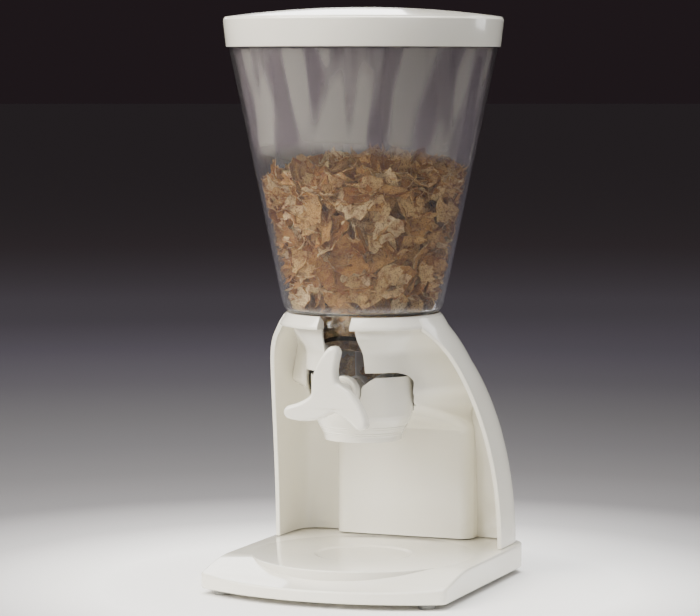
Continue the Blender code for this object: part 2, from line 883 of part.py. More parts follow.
def make_lid():
    rise = lid_dome_height
    edge = lid_top_radius - lid_groove
    bow = (edge**2 + rise**2) / (2 * rise)
    span = asin(edge / bow)
    crown = arc((0, lid_dome_z + rise - bow), bow, pi / 2, pi / 2 - span, 6)
    under_bow = bow - lid_wall
    plug_in = lid_plug_radius - lid_plug_wall
    under_span = asin(plug_in / under_bow)
    roof = arc((0, lid_dome_z + rise - bow), under_bow, pi / 2 - under_span, pi / 2, 5)
    groove_low = lid_seat_z - seal_drop - seal_height
    groove_in = lid_plug_radius - seal_depth
    outer = [
        (edge, lid_top_z + lid_edge_height / 4),
        (lid_top_radius, lid_top_z),
        (lid_skirt_radius, lid_bottom_z),
        (lid_skirt_radius - lid_wall, lid_bottom_z),
        (lid_top_radius - lid_wall, lid_seat_z),
        (lid_plug_radius, lid_seat_z),
        (lid_plug_radius, lid_seat_z - seal_drop),
        (groove_in, lid_seat_z - seal_drop),
        (groove_in, groove_low),
        (lid_plug_radius, groove_low),
        (lid_plug_radius, lid_seat_z - lid_plug_depth),
        (plug_in, lid_seat_z - lid_plug_depth),
    ]
    profile = [(0, crown[0][1])] + crown[1:] + outer + roof[:-1] + [(0, roof[-1][1])]
    return turned("lid", profile, ivory, parts, large_steps)


def make_seal():
    """A soft ring in the lid's groove, with a lip towards the canister's collar."""
    high = lid_seat_z - seal_drop - seat_gap / 2
    low = high - seal_height + seat_gap
    inside = lid_plug_radius - seal_depth + seat_gap / 2
    tip = lid_plug_radius + seal_bulge
    middle = (high + low) / 2
    profile = [
        (inside, high),
        (lid_plug_radius, high),
        (tip, middle + seal_height / 6),
        (tip, middle - seal_height / 6),
        (lid_plug_radius, low),
        (inside, low),
    ]
    return turned("lid_seal", profile, silicone, parts, large_steps)


def cup_profile():
    fall = cup_shoulder_z - cup_outlet_z
    drop = cup_shoulder_radius - cup_outlet_radius
    outer = [(cup_rim_radius, cup_rim_z), (cup_shoulder_radius, cup_shoulder_z)]
    for share, height in cup_shoulder_shares:
        outer.append((cup_outlet_radius + drop * share, cup_outlet_z + fall * height))
    neck = outer[-1]
    outer += [(cup_outlet_radius, cup_outlet_z)]
    fit = neck_end_radius + seat_gap
    spread = neck_taper * (cup_rim_z - neck_end_z) / (neck_top_z - neck_end_z)
    inner = [
        (cup_outlet_radius - cup_wall, cup_outlet_z),
        (cup_outlet_radius - cup_wall, neck[1]),
        (neck_end_radius - neck_wall, neck_end_z - seat_gap - neck_wall),
        (neck_end_radius - neck_wall, neck_end_z - seat_gap),
        (fit, neck_end_z - seat_gap),
        (fit + spread, cup_rim_z),
    ]
    return outer + inner


def make_cup():
    cup = turned("outlet_cup", cup_profile(), ivory, parts, large_steps)
    slot = bush_radius + axial_gap
    line = arc((0, axle_z), slot, pi, 2 * pi, 10)
    line += [
        (slot, axle_z + slot / 3),
        (cup_mouth_half_width, cup_rim_z),
        (cup_mouth_half_width, cup_rim_z + overrun),
        (-cup_mouth_half_width, cup_rim_z + overrun),
        (-cup_mouth_half_width, cup_rim_z),
        (-slot, axle_z + slot / 3),
    ]
    far = cup_rim_radius + overrun
    near = cup_outlet_radius / 2
    front = front_prism("cup_front_slot", line, -far, -near, plain, cutters)
    slot = rear_pad_radius + axial_gap
    line = arc((0, axle_z), slot, pi, 2 * pi, 10)
    line += [(slot, cup_rim_z + overrun), (-slot, cup_rim_z + overrun)]
    rear = front_prism("cup_rear_slot", line, near, far, plain, cutters)
    return cut(cup, front, rear)


def on_axle(obj):
    """Turns a piece made about Z so that its +Z points to the rear along the axle."""
    obj.location = (0, 0, axle_z)
    obj.rotation_euler = (-pi / 2, 0, 0)
    return obj


def make_axle():
    front_end = -knob_rear_y - knob_socket_depth + seat_gap
    shoulder = -knob_rear_y + seat_gap
    key_start = -hub_half_length - axial_gap / 2
    key_end = hub_half_length + axial_gap / 2
    groove_low = rear_stop_y + running_gap
    groove_high = groove_low + clip_thickness + seat_gap
    groove_in = rear_journal_radius - clip_groove_depth
    profile = [
        (0, axle_end_y),
        (rear_journal_radius, axle_end_y),
        (rear_journal_radius, groove_high),
        (groove_in, groove_high),
        (groove_in, groove_low),
        (rear_journal_radius, groove_low),
        (rear_journal_radius, key_start),
        (journal_radius, key_start),
        (journal_radius, shoulder),
        (knob_stub_radius, shoulder),
        (knob_stub_radius, front_end),
        (0, front_end),
    ]
    axle = turned("axle", profile, ivory, parts, pin_steps)
    key = cylinder("axle_key", key_corner_radius, key_start - axial_gap, key_end, plain, cutters, 6)
    flat = block(
        "stub_flat",
        (knob_stub_radius * stub_flat_share, -knob_stub_radius * 2, front_end - fine_overrun),
        (knob_stub_radius * 2, knob_stub_radius * 2, shoulder - axial_gap),
        plain,
        cutters,
    )
    join(axle, key)
    cut(axle, flat)
    return on_axle(axle)


def make_wheel():
    ends = (-hub_half_length, hub_half_length)
    wheel = cylinder("paddle_wheel", wheel_hub_radius, *ends, silicone, parts, small_steps)
    half = vane_thickness / 2
    line = [(wheel_hub_radius / 2, -half), (wheel_radius - half, -half), (wheel_radius, -half / 3)]
    line += [(x, -y) for x, y in reversed(line)]
    vanes = []
    for index in range(vane_count):
        vane = prism(f"vane_{index}", line, -wheel_half_length, wheel_half_length, plain, cutters)
        vane.data.transform(Matrix.Rotation(pi / 2 + 2 * pi * index / vane_count, 4, "Z"))
        vanes.append(vane)
    join(wheel, *vanes)
    radius = key_corner_radius + running_gap
    bore = cylinder("wheel_bore", radius, ends[0] - overrun, ends[1] + overrun, plain, cutters, 6)
    cut(wheel, bore)
    return on_axle(wheel)


def make_bushes():
    bore = journal_radius + running_gap
    sleeve = bush_sleeve_radius()
    seat = -pad_face_y - seat_gap
    profile = [
        (bore, -chamber_half),
        (sleeve, -chamber_half),
        (sleeve, seat),
        (bush_radius, seat),
        (bush_radius, -bush_front_y + axial_gap),
        (bush_radius - axial_gap, -bush_front_y),
        (bore, -bush_front_y),
    ]
    on_axle(turned("front_bush", profile, ivory, parts, small_steps))
    bore = rear_journal_radius + running_gap
    sleeve = rear_sleeve_radius()
    seat = pad_face_y + seat_gap
    profile = [
        (bore, rear_stop_y),
        (rear_bush_radius, rear_stop_y),
        (rear_bush_radius, seat),
        (sleeve, seat),
        (sleeve, chamber_half),
        (bore, chamber_half),
    ]
    on_axle(turned("rear_bush", profile, ivory, parts, pin_steps))


def make_clip():
    low = rear_stop_y + running_gap + seat_gap / 2
    inner = rear_journal_radius - clip_groove_depth + running_gap
    high = low + clip_thickness
    ring = [(inner, high), (clip_radius, high), (clip_radius, low), (inner, low)]
    clip = turned("axle_clip", ring, steel, parts, pin_steps)
    mouth = block(
        "clip_mouth",
        (-inner * clip_mouth_share, -clip_radius * 2, low - fine_overrun),
        (inner * clip_mouth_share, 0, low + fine_overrun),
        plain,
        cutters,
    )
    cut(clip, mouth)
    return on_axle(clip)


def lobe_outline():
    """The knob's flat face in the plane: three like lobes, each swept to one side."""
    reach = knob_radius
    points = []
    for lobe in range(3):
        for angle, share in reversed(lobe_shares):
            turn = lobe_start_angle + radians(angle) + 2 * pi / 3 * lobe
            points.append((reach * share * cos(turn), reach * share * sin(turn)))
    return points


def make_knob():
    line = bpy.data.curves.new("knob_line", "CURVE")
    line.dimensions = "2D"
    line.fill_mode = "BOTH"
    line.resolution_u = 2
    line.bevel_depth = knob_round
    line.bevel_resolution = 1
    line.extrude = knob_thickness / 2 - knob_round
    points = lobe_outline()
    spline = line.splines.new("BEZIER")
    spline.bezier_points.add(len(points) - 1)
    for place, (x, z) in zip(spline.bezier_points, points):
        place.co = (x, z, 0)
        place.handle_left_type = place.handle_right_type = "AUTO"
    spline.use_cyclic_u = True
    guide = bpy.data.objects.new("knob_guide", line)
    cutters.objects.link(guide)
    bpy.context.view_layer.update()
    graph = bpy.context.evaluated_depsgraph_get()
    mesh = bpy.data.meshes.new_from_object(guide.evaluated_get(graph))
    bpy.data.objects.remove(guide, do_unlink=True)
    bm = bmesh.new()
    bm.from_mesh(mesh)
    bmesh.ops.remove_doubles(bm, verts=bm.verts, dist=weld_distance)
    middle = -knob_rear_y - knob_thickness / 2
    bm.transform(Matrix.Translation((0, middle, 0)) @ Matrix.Rotation(pi / 2, 4, "X"))
    bmesh.ops.recalc_face_normals(bm, faces=bm.faces)
    mesh.materials.clear()
    bm.to_mesh(mesh)
    bm.free()
    knob = new_object("knob", mesh, ivory, parts)
    hub_end = -bush_front_y - axial_gap
    hub_start = -knob_rear_y - knob_round
    hub = cross_cylinder("knob_hub", knob_hub_radius, hub_start, hub_end, plain, cutters, small_steps, 0)
    join(knob, hub)
    shaft_radius = journal_radius + seat_gap
    stub_radius = knob_stub_radius + seat_gap
    shaft_end = hub_end + overrun
    stub_start = -knob_rear_y - knob_socket_depth
    shaft = cross_cylinder("shaft_bore", shaft_radius, -knob_rear_y, shaft_end, plain, cutters, pin_steps, 0)
    stub = cross_cylinder("stub_bore", stub_radius, stub_start, hub_end, plain, cutters, pin_steps, 0)
    cut(knob, shaft, stub)
    knob.location = (0, 0, axle_z)
    return knob


def smooth(obj):
    obj.data.shade_smooth()
    obj.data.set_sharp_from_angle(angle=radians(35))


clear_scene()
parts = collection("cereal_dispenser")
cutters = collection("cutters")
ivory = material("ivory_gloss_plastic", (0.80, 0.77, 0.72), 0.22)
clear_plastic = material("clear_plastic", (0.90, 0.90, 0.93), 0.04, transmission=1.0)
clear_rubber = material("clear_grey_rubber", (0.62, 0.62, 0.60), 0.35, transmission=0.6)
silicone = material("milky_silicone", (0.86, 0.86, 0.84), 0.40, transmission=0.4)
steel = material("zinc_plated_steel", (0.60, 0.60, 0.61), 0.30, metallic=1.0)
plain = material("cutter", (0.5, 0.5, 0.5), 0.5)

make_base()
make_feet()
make_column()
make_housing()
make_screws()
make_canister()
make_lid()
make_seal()
make_cup()
make_bushes()
make_axle()
make_clip()
make_wheel()
make_knob()
for piece in parts.objects:
    smooth(piece)
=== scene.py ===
import random
from math import asin, atan2, cos, hypot, pi, radians, sin, sqrt

import bmesh
import bpy
from mathutils import Matrix, Vector, noise


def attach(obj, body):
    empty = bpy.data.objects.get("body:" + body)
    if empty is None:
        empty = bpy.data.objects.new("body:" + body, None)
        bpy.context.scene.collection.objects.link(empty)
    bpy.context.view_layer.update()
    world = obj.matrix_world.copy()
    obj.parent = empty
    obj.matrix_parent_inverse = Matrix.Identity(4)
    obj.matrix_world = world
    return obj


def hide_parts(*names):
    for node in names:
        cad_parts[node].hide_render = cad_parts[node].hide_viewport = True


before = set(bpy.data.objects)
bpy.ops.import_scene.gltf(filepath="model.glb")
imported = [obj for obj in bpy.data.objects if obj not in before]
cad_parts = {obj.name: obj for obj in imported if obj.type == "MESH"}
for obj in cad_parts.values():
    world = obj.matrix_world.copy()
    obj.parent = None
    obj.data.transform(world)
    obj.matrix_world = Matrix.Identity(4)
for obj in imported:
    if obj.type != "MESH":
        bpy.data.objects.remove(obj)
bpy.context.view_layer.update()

# The studio: a camera at the photograph's angle, a pale sweep and soft boxes.
# The table is matt white card. Its colour is painted darker with distance from the dispenser: painted shade
# that stands for the light falling off into dusk, as behind a product in a studio.

scene = bpy.context.scene
lens = bpy.data.cameras.new("camera")
camera = bpy.data.objects.new("camera", lens)
scene.collection.objects.link(camera)
camera.location = (0.7959, -2.0535, 0.3887)
camera.rotation_euler = (radians(85.31), 0, radians(21.444))
lens.lens = 152.1
lens.sensor_width = 36
lens.clip_end = 30
scene.camera = camera


def tint(code):
    """An sRGB hex colour as linear light."""
    parts = [int(code[i : i + 2], 16) / 255 for i in (1, 3, 5)]
    return (*[c / 12.92 if c <= 0.04045 else ((c + 0.055) / 1.055) ** 2.4 for c in parts], 1.0)


def add_node(tree, kind, inputs, **settings):
    """A node with its settings; an input is a value or the socket that feeds it."""
    made = tree.nodes.new(kind)
    for key, value in settings.items():
        setattr(made, key, value)
    for key, value in inputs.items():
        if isinstance(value, bpy.types.NodeSocket):
            tree.links.new(value, made.inputs[key])
        else:
            made.inputs[key].default_value = value
    return made


def start_finish(name, **values):
    """A material with its shader's plain values set; also its tree, shader and Object coordinates."""
    made = bpy.data.materials.new(name)
    made.use_nodes = True
    shader = made.node_tree.nodes["Principled BSDF"]
    for key, value in values.items():
        shader.inputs[key.replace("_", " ")].default_value = value
    place = add_node(made.node_tree, "ShaderNodeTexCoord", {}).outputs["Object"]
    return made, made.node_tree, shader, place


def shade_stops(ramp, stops):
    """Sets a colour ramp to (place, sRGB hex) stops."""
    while len(ramp.color_ramp.elements) < len(stops):
        ramp.color_ramp.elements.new(0.5)
    for element, (place, code) in zip(ramp.color_ramp.elements, stops):
        element.position = place
        element.color = tint(code)


bright_reach, dusk_reach, table_radius = 0.2, 4.2, 60.0

card, tree, shader, place = start_finish("white_card_painted_falloff", Roughness=0.75, Specular_IOR_Level=0.2)
# Painted shade: the card's colour goes from white near the dispenser to dark grey further out, in place of
# the lamps' light falling off.
away = add_node(tree, "ShaderNodeVectorMath", {0: place}, operation="LENGTH")
painted_falloff = add_node(
    tree,
    "ShaderNodeMapRange",
    {"Value": away.outputs["Value"], "From Min": bright_reach, "From Max": dusk_reach},
)
ramp = add_node(tree, "ShaderNodeValToRGB", {"Fac": painted_falloff.outputs["Result"]})
shade_stops(ramp, [
    (0.0, "#FFFEFB"), (0.03, "#A8A6A6"), (0.065, "#676566"), (0.11, "#555354"), (0.16, "#4B494B"),
    (0.22, "#444244"), (0.31, "#3C393E"), (0.42, "#3D3941"), (0.64, "#4B464E"), (1.0, "#42383D"),
])
tree.links.new(ramp.outputs["Color"], shader.inputs["Base Color"])

floor_shape = bmesh.new()
bmesh.ops.create_circle(floor_shape, cap_ends=True, segments=96, radius=table_radius)
floor_mesh = bpy.data.meshes.new("floor")
floor_shape.to_mesh(floor_mesh)
floor_shape.free()
floor_mesh.materials.append(card)
floor = bpy.data.objects.new("floor", floor_mesh)
scene.collection.objects.link(floor)

world = bpy.data.worlds.new("studio")
scene.world = world
world.use_nodes = True
tree = world.node_tree
sky = add_node(tree, "ShaderNodeTexCoord", {})
height = add_node(tree, "ShaderNodeSeparateXYZ", {"Vector": sky.outputs["Generated"]})
level = add_node(
    tree, "ShaderNodeMapRange", {"Value": height.outputs["Z"], "From Min": -0.2, "From Max": 1.0}
)
ramp = add_node(tree, "ShaderNodeValToRGB", {"Fac": level.outputs["Result"]})
shade_stops(ramp, [(0.0, "#332A2E"), (0.20, "#332A2E"), (0.42, "#6A666A"), (1.0, "#D2D0CF")])
tree.links.new(ramp.outputs["Color"], tree.nodes["Background"].inputs["Color"])
tree.nodes["Background"].inputs["Strength"].default_value = 0.55

lamp_aim = Vector((0, 0, 0.18))


def soft_box(name, place, width, height, watts, colour):
    """An area light that faces the middle of the dispenser."""
    glow = bpy.data.lights.new(name, "AREA")
    glow.shape = "RECTANGLE"
    glow.size = width
    glow.size_y = height
    glow.energy = watts
    glow.color = tint(colour)[:3]
    lamp = bpy.data.objects.new(name, glow)
    lamp.location = place
    lamp.rotation_euler = (Vector(place) - lamp_aim).to_track_quat("Z", "Y").to_euler()
    scene.collection.objects.link(lamp)


soft_box("key_box", (-1.30, -1.50, 1.60), 2.0, 2.0, 150, "#FFFAF3")
soft_box("front_box", (0.15, -2.10, 0.62), 0.7, 0.7, 6, "#FFFDF8")
soft_box("fill_box", (1.7, -1.2, 0.90), 1.3, 1.5, 10, "#F8F8FF")
soft_box("back_box", (-0.9, 1.5, 1.1), 0.8, 0.9, 12, "#FFFFFF")
soft_box("edge_box", (1.35, 1.15, 0.8), 0.5, 1.2, 9, "#FFFFFF")
soft_box("top_box", (0.1, 0.1, 1.9), 1.6, 1.6, 62, "#FFFFFF")

# Base plate: injection-moulded ABS, ivory, polished tool finish. Its front edge is bowed, its top
# falls in an S to a thin front lip, and a flat disc with a sunk circle marks where the bowl stands.
# It is a hollow tray underneath, with ribs, foot bosses and screw posts.


def two_tone(tree, shader, place, scale, detail, stops):
    """Tints the surface through a ramp, in patches of about 1 / scale metres."""
    cloud = add_node(tree, "ShaderNodeTexNoise", {"Vector": place, "Scale": scale, "Detail": detail})
    ramp = add_node(tree, "ShaderNodeValToRGB", {"Fac": cloud.outputs["Fac"]})
    shade_stops(ramp, stops)
    tree.links.new(ramp.outputs["Color"], shader.inputs["Base Color"])


def relief(tree, shader, place, scale, detail, strength, depth):
    """Makes the surface uneven in waves of about 1 / scale metres."""
    grain = add_node(tree, "ShaderNodeTexNoise", {"Vector": place, "Scale": scale, "Detail": detail})
    skin = add_node(
        tree, "ShaderNodeBump", {"Height": grain.outputs["Fac"], "Strength": strength, "Distance": depth}
    )
    tree.links.new(skin.outputs["Normal"], shader.inputs["Normal"])


ivory, tree, shader, place = start_finish(
    "ivory_moulded_abs", IOR=1.53, Roughness=0.14, Coat_Weight=0.35, Coat_Roughness=0.05,
    Subsurface_Weight=0.06, Subsurface_Radius=(0.003, 0.003, 0.0022), Subsurface_Scale=0.5,
)
# A faint drift of the tint over about 60 mm, as in a large moulding.
two_tone(tree, shader, place, 16.0, 2.0, [(0.30, "#ECE8DA"), (0.70, "#F1EEE1")])
# The gloss of a polished tool, uneven over about 8 mm.
sheen = add_node(tree, "ShaderNodeTexNoise", {"Vector": place, "Scale": 120.0, "Detail": 3.0})
gloss = add_node(
    tree, "ShaderNodeMapRange", {"Value": sheen.outputs["Fac"], "To Min": 0.10, "To Max": 0.17}
)
tree.links.new(gloss.outputs["Result"], shader.inputs["Roughness"])
# A ripple of about 3 mm, drawn coarser than real orange peel so that it shows in the reflections.
relief(tree, shader, place, 330.0, 2.0, 0.10, 0.00005)


def finish_piece(name, shape, finish, body, nodes=(), sharp=40):
    """Makes the shape an object that rides on its body and stands for its CAD nodes."""
    mesh = bpy.data.meshes.new(name)
    shape.to_mesh(mesh)
    shape.free()
    mesh.materials.append(finish)
    mesh.shade_smooth()
    mesh.set_sharp_from_angle(angle=radians(sharp))
    made = bpy.data.objects.new(name, mesh)
    scene.collection.objects.link(made)
    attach(made, body)
    if nodes:
        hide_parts(*nodes)
    return made


def helper(name, shape):
    """An object for a Boolean, which is deleted after its cut."""
    mesh = bpy.data.meshes.new(name)
    shape.to_mesh(mesh)
    shape.free()
    made = bpy.data.objects.new(name, mesh)
    scene.collection.objects.link(made)
    return made


def carve(shape, *tools, operation="DIFFERENCE"):
    """The shape after a Boolean with each tool in turn, as a new bmesh."""
    blank = helper("blank", shape)
    for tool in tools:
        step = blank.modifiers.new("cut", "BOOLEAN")
        step.operation = operation
        step.solver = "EXACT"
        step.object = tool
    bpy.context.view_layer.update()
    graph = bpy.context.evaluated_depsgraph_get()
    mesh = bpy.data.meshes.new_from_object(blank.evaluated_get(graph))
    for used in (blank, *tools):
        bpy.data.objects.remove(used, do_unlink=True)
    made = bmesh.new()
    made.from_mesh(mesh)
    bpy.data.meshes.remove(mesh)
    return made


def arc(centre, radius, start, end, count):
    """Points along a round stretch of an outline, both ends included."""
    turn = (end - start) / count
    return [
        (centre[0] + radius * cos(start + turn * i), centre[1] + radius * sin(start + turn * i))
        for i in range(count + 1)
    ]


def mirrored(line):
    """The same points on the other side, in turned order, so that both halves make one outline."""
    return [(-x, y) for x, y in reversed(line)]


def raised(outline, put, lift):
    """A closed block: a face through the outline, put in space by put(a, b), extruded by lift."""
    shape = bmesh.new()
    face = shape.faces.new([shape.verts.new(put(*point)) for point in outline])
    made = bmesh.ops.extrude_face_region(shape, geom=[face])["geom"]
    top = [item for item in made if isinstance(item, bmesh.types.BMVert)]
    bmesh.ops.translate(shape, vec=lift, verts=top)
    bmesh.ops.recalc_face_normals(shape, faces=shape.faces)
    return shape


half_width, half_depth = 0.0965, 0.110
front_sag, rear_sag = 0.025, 0.006
front_corner, rear_corner = 0.008, 0.022
plate_low, plate_high, plate_rounding, wall = 0.0042, 0.0232, 0.0018, 0.0028
lip_drop, slope_from, slope_rows = 0.0101, 0.035, 38
disc_radius, circle_radius, circle_depth = 0.0843, 0.0372, 0.0011
overrun = 0.01


def plate_outline(inset):
    """Plan of the plate: bowed edges with tight corners in front and wide ones at the rear."""
    front_bow = (half_width**2 + front_sag**2) / (2 * front_sag)
    rear_bow = (half_width**2 + rear_sag**2) / (2 * rear_sag)
    front_centre, rear_centre = front_bow - half_depth, half_depth - rear_bow
    corner_x, rear_x = half_width - front_corner, half_width - rear_corner
    front_y = front_centre - sqrt((front_bow - front_corner) ** 2 - corner_x**2)
    rear_y = rear_centre + sqrt((rear_bow - rear_corner) ** 2 - rear_x**2)
    front_turn = atan2(front_y - front_centre, corner_x)
    rear_turn = atan2(rear_y - rear_centre, rear_x)
    right = arc((corner_x, front_y), front_corner - inset, front_turn, 0, 12)
    right += arc((rear_x, rear_y), rear_corner - inset, 0, rear_turn, 20)
    rear = arc((0, rear_centre), rear_bow - inset, rear_turn, pi - rear_turn, 24)[1:-1]
    front = arc((0, front_centre), front_bow - inset, -pi - front_turn, front_turn, 64)[1:-1]
    return right + rear + mirrored(right) + front


def eased_share(value, low, high):
    """How far the value is from low to high, from 0 to 1, with a soft start and end."""
    share = min(max((value - low) / (high - low), 0), 1)
    return share * share * (3 - 2 * share)


def sloped_block(inset, low, high, rounding):
    """The plate's outline as a block whose top follows the S-shaped slope."""
    shape = raised(plate_outline(inset), lambda x, y: (x, y, low), (0, 0, high - low))
    if rounding:
        rims = [e for e in shape.edges if abs(e.verts[0].co.z - e.verts[1].co.z) < 1e-6]
        bmesh.ops.bevel(
            shape, geom=rims, offset=rounding, offset_type="OFFSET", affect="EDGES", segments=5,
            profile=0.5, material=-1, clamp_overlap=True,
        )
    for step in range(slope_rows):
        y = -slope_from - (half_depth - slope_from) * (step + 0.5) / slope_rows
        bmesh.ops.bisect_plane(
            shape, geom=[*shape.verts, *shape.edges, *shape.faces], plane_co=(0, y, 0), plane_no=(0, 1, 0)
        )
    for vert in shape.verts:
        if vert.co.z > (low + high) / 2:
            vert.co.z -= lip_drop * eased_share(-vert.co.y, slope_from, half_depth)
    return shape


def rod(shape, radius, low, high, steps, x=0, y=0):
    """Adds an upright round rod to the shape."""
    bmesh.ops.create_cone(
        shape, cap_ends=True, segments=steps, radius1=radius, radius2=radius, depth=high - low,
        matrix=Matrix.Translation((x, y, (low + high) / 2)),
    )
    return shape


pocket_radius, pocket_depth = disc_radius - 0.003, 0.0018
rib_x, rib_width = 0.046, 0.002
# Middle, length, mid height and height of the long rib and of the short one in front of it.
rib_runs = ((0.0215, 0.155, 0.0129, 0.0129), (-0.0700, 0.030, 0.0103, 0.0077))
foot_places = {
    "foot_front_left": (-0.080, -0.080), "foot_front_right": (0.080, -0.080),
    "foot_rear_left": (-0.080, 0.088), "foot_rear_right": (0.080, 0.088),
}
screw_y, screw_places = 0.0935, (-0.040, 0, 0.040)
foot_boss, foot_boss_low, foot_boss_high = 0.0065, 0.00425, 0.01375
screw_boss, screw_boss_low, screw_boss_high = 0.0043, 0.00655, 0.02105

plate = sloped_block(0, plate_low, plate_high, plate_rounding)
tray = helper("tray", sloped_block(wall, plate_low - overrun, plate_high - wall, 0))
pocket = rod(bmesh.new(), pocket_radius, plate_high - pocket_depth, plate_high + overrun, 160)
plate = carve(plate, tray, helper("pocket", pocket))
for x in (-rib_x, rib_x):
    for y, length, z, tall in rib_runs:
        block = Matrix.Translation((x, y, z)) @ Matrix.Diagonal((rib_width, length, tall, 1))
        bmesh.ops.create_cube(plate, size=1, matrix=block)
for x, y in foot_places.values():
    rod(plate, foot_boss, foot_boss_low, foot_boss_high, 32, x, y)
for x in screw_places:
    rod(plate, screw_boss, screw_boss_low, screw_boss_high, 32, x, screw_y)
finish_piece("base_tray", plate, ivory, "stand", ["base_plate"], 30)


def spun(profile, steps, closed=True):
    """Turns a profile of (radius, height) points once round Z. A closed one is a ring of wall."""
    shape = bmesh.new()
    verts = [shape.verts.new((r, 0, z)) for r, z in profile]
    edges = [shape.edges.new(pair) for pair in zip(verts, verts[1:])]
    if closed:
        edges.append(shape.edges.new((verts[-1], verts[0])))
    bmesh.ops.spin(
        shape, geom=verts + edges, cent=(0, 0, 0), axis=(0, 0, 1), dvec=(0, 0, 0), angle=2 * pi,
        steps=steps, use_merge=True, use_duplicate=False,
    )
    bmesh.ops.remove_doubles(shape, verts=shape.verts, dist=1e-6)
    bmesh.ops.recalc_face_normals(shape, faces=shape.faces)
    return shape


def eased(points, radius, closed=True, count=4):
    """The same profile with each corner eased by an arc of about the radius."""
    least_bend, most_share = 0.12, 0.45
    made = []
    last = len(points)
    for i, here in enumerate(points):
        if not closed and i in (0, last - 1):
            made.append(here)
            continue
        before, after = Vector(points[i - 1]), Vector(points[(i + 1) % last])
        corner = Vector(here)
        to_before, to_after = before - corner, after - corner
        if pi - to_before.angle(to_after) < least_bend:
            made.append(here)
            continue
        cut_back = min(radius, to_before.length * most_share, to_after.length * most_share)
        start = corner + to_before.normalized() * cut_back
        end = corner + to_after.normalized() * cut_back
        for k in range(count + 1):
            t = k / count
            made.append(tuple(start * (1 - t) ** 2 + corner * 2 * t * (1 - t) + end * t * t))
    return made


# The disc stands a hair above the plate, so that its edge catches the light.
disc_top = plate_high + 0.00003
disc_foot = plate_low + 0.006
disc_rounding, disc_steps = 0.0010, 224
sunk_z = disc_top - circle_depth
sunk_radius = circle_radius - 0.0030
disc_line = [
    (0, sunk_z), (sunk_radius, sunk_z), (circle_radius, disc_top), (disc_radius, disc_top),
    (disc_radius, disc_foot),
]
disc_line = eased(disc_line, disc_rounding, closed=False) + [(0, disc_foot)]
disc = spun(disc_line, disc_steps, closed=False)
hollow_radius, hollow_top = disc_radius - wall, plate_high - wall - circle_depth
hollow_line = [(0, hollow_top), (hollow_radius, hollow_top), (hollow_radius, plate_low), (0, plate_low)]
disc = carve(disc, helper("under", spun(hollow_line, 96, closed=False)))
finish_piece("bowl_disc", disc, ivory, "stand", ["base_plate"], 30)

# Feet: four push-in pads of clear PVC rubber, slightly grey, pressed into the bosses from below.
# Soft moulding gives a satin skin with a grain of about 1 mm.

foot_rubber, tree, shader, place = start_finish(
    "clear_pvc_rubber", Base_Color=tint("#B9B8B4"), Roughness=0.38, IOR=1.50, Transmission_Weight=0.55
)
relief(tree, shader, place, 900.0, 2.0, 0.15, 0.0001)

foot_rounding = 0.0007
foot_line = [(0, 0.0074), (0.0040, 0.0074), (0.0040, 0.0039), (0.0065, 0.0039), (0.0062, 0.0), (0, 0.0)]
for foot_name, (x, y) in foot_places.items():
    pad = spun(eased(foot_line, foot_rounding, closed=False), 40, closed=False)
    bmesh.ops.translate(pad, vec=(x, y, 0), verts=pad.verts)
    finish_piece(foot_name + "_pad", pad, foot_rubber, "stand", [foot_name])

# Column shell: the same ivory ABS, one moulding that stands on the base. A bell whose sections change
# from a circle under the ring to a rounded square at the foot; it is open to the front and its free
# edges sweep forward in an S.

lip_low = 0.1959
column_foot = plate_high + 0.0003
shell_wall = 0.0034
neck_half, shoulder_half, shoulder_spread, shoulder_most = 0.0623, 0.0638, 0.0774, 0.0660
foot_half, foot_rear = 0.0925, 0.1055
rim_top, rim_foot = -0.027, 0.0505
# The rows stand closer together towards the top, where the bell bends most.
row_power = 1.7
bell_rows, bell_points, quarter_steps = 46, 56, 360
bell_rounding = 0.0011
# Radius and height of the rows above the lip. They lie on the ring's cone, so that ring and bell
# read as one surface.
cone_rows = ((0.0589, 0.2042), (0.0606, 0.2015), (0.0624, 0.1987))


def bell_share(fall, flare, fullness):
    """How far the bell has opened at a fall of 0 under the ring to 1 at the foot."""
    return (1 - (1 - fall) ** flare) ** fullness


def bell_line(fall, count):
    """Plan of the bell from its right front edge round the back to its left one."""
    flare = bell_share(fall, 2.2, 0.75)
    shoulder = min(shoulder_half + shoulder_spread * fall, shoulder_most)
    width = max(neck_half + (foot_half - neck_half) * flare, shoulder)
    rear = neck_half + (foot_rear - neck_half) * flare
    rim = rim_top + (rim_foot - rim_top) * bell_share(fall, 2.0, 0.9)
    centre = max(rim, 0)
    squareness = 2 + 5.0 * fall
    dense = []
    if rim < 0:
        dense += arc((0, 0), width, asin(rim / width), 0, 30)[:-1]
    for i in range(quarter_steps + 1):
        turn = pi / (2 * quarter_steps) * i
        x = width * max(cos(turn), 0) ** (2 / squareness)
        dense.append((x, centre + (rear - centre) * sin(turn) ** (2 / squareness)))
    dense[-1] = (0, rear)
    lengths = [0]
    for (ax, ay), (bx, by) in zip(dense, dense[1:]):
        lengths.append(lengths[-1] + hypot(bx - ax, by - ay))
    half, step = [dense[0]], 1
    for i in range(1, count):
        aim = lengths[-1] * i / count
        while lengths[step] < aim:
            step += 1
        share = (aim - lengths[step - 1]) / max(lengths[step] - lengths[step - 1], 1e-9)
        (ax, ay), (bx, by) = dense[step - 1], dense[step]
        half.append((ax + (bx - ax) * share, ay + (by - ay) * share))
    return half + [dense[-1]] + mirrored(half)


def soften(piece, width, segments, angle=60):
    """Rounds a piece's sharp edges as the mould does."""
    soft = piece.modifiers.new("soft_edges", "BEVEL")
    soft.width = width
    soft.segments = segments
    soft.limit_method = "ANGLE"
    soft.angle_limit = radians(angle)
    soft.harden_normals = True


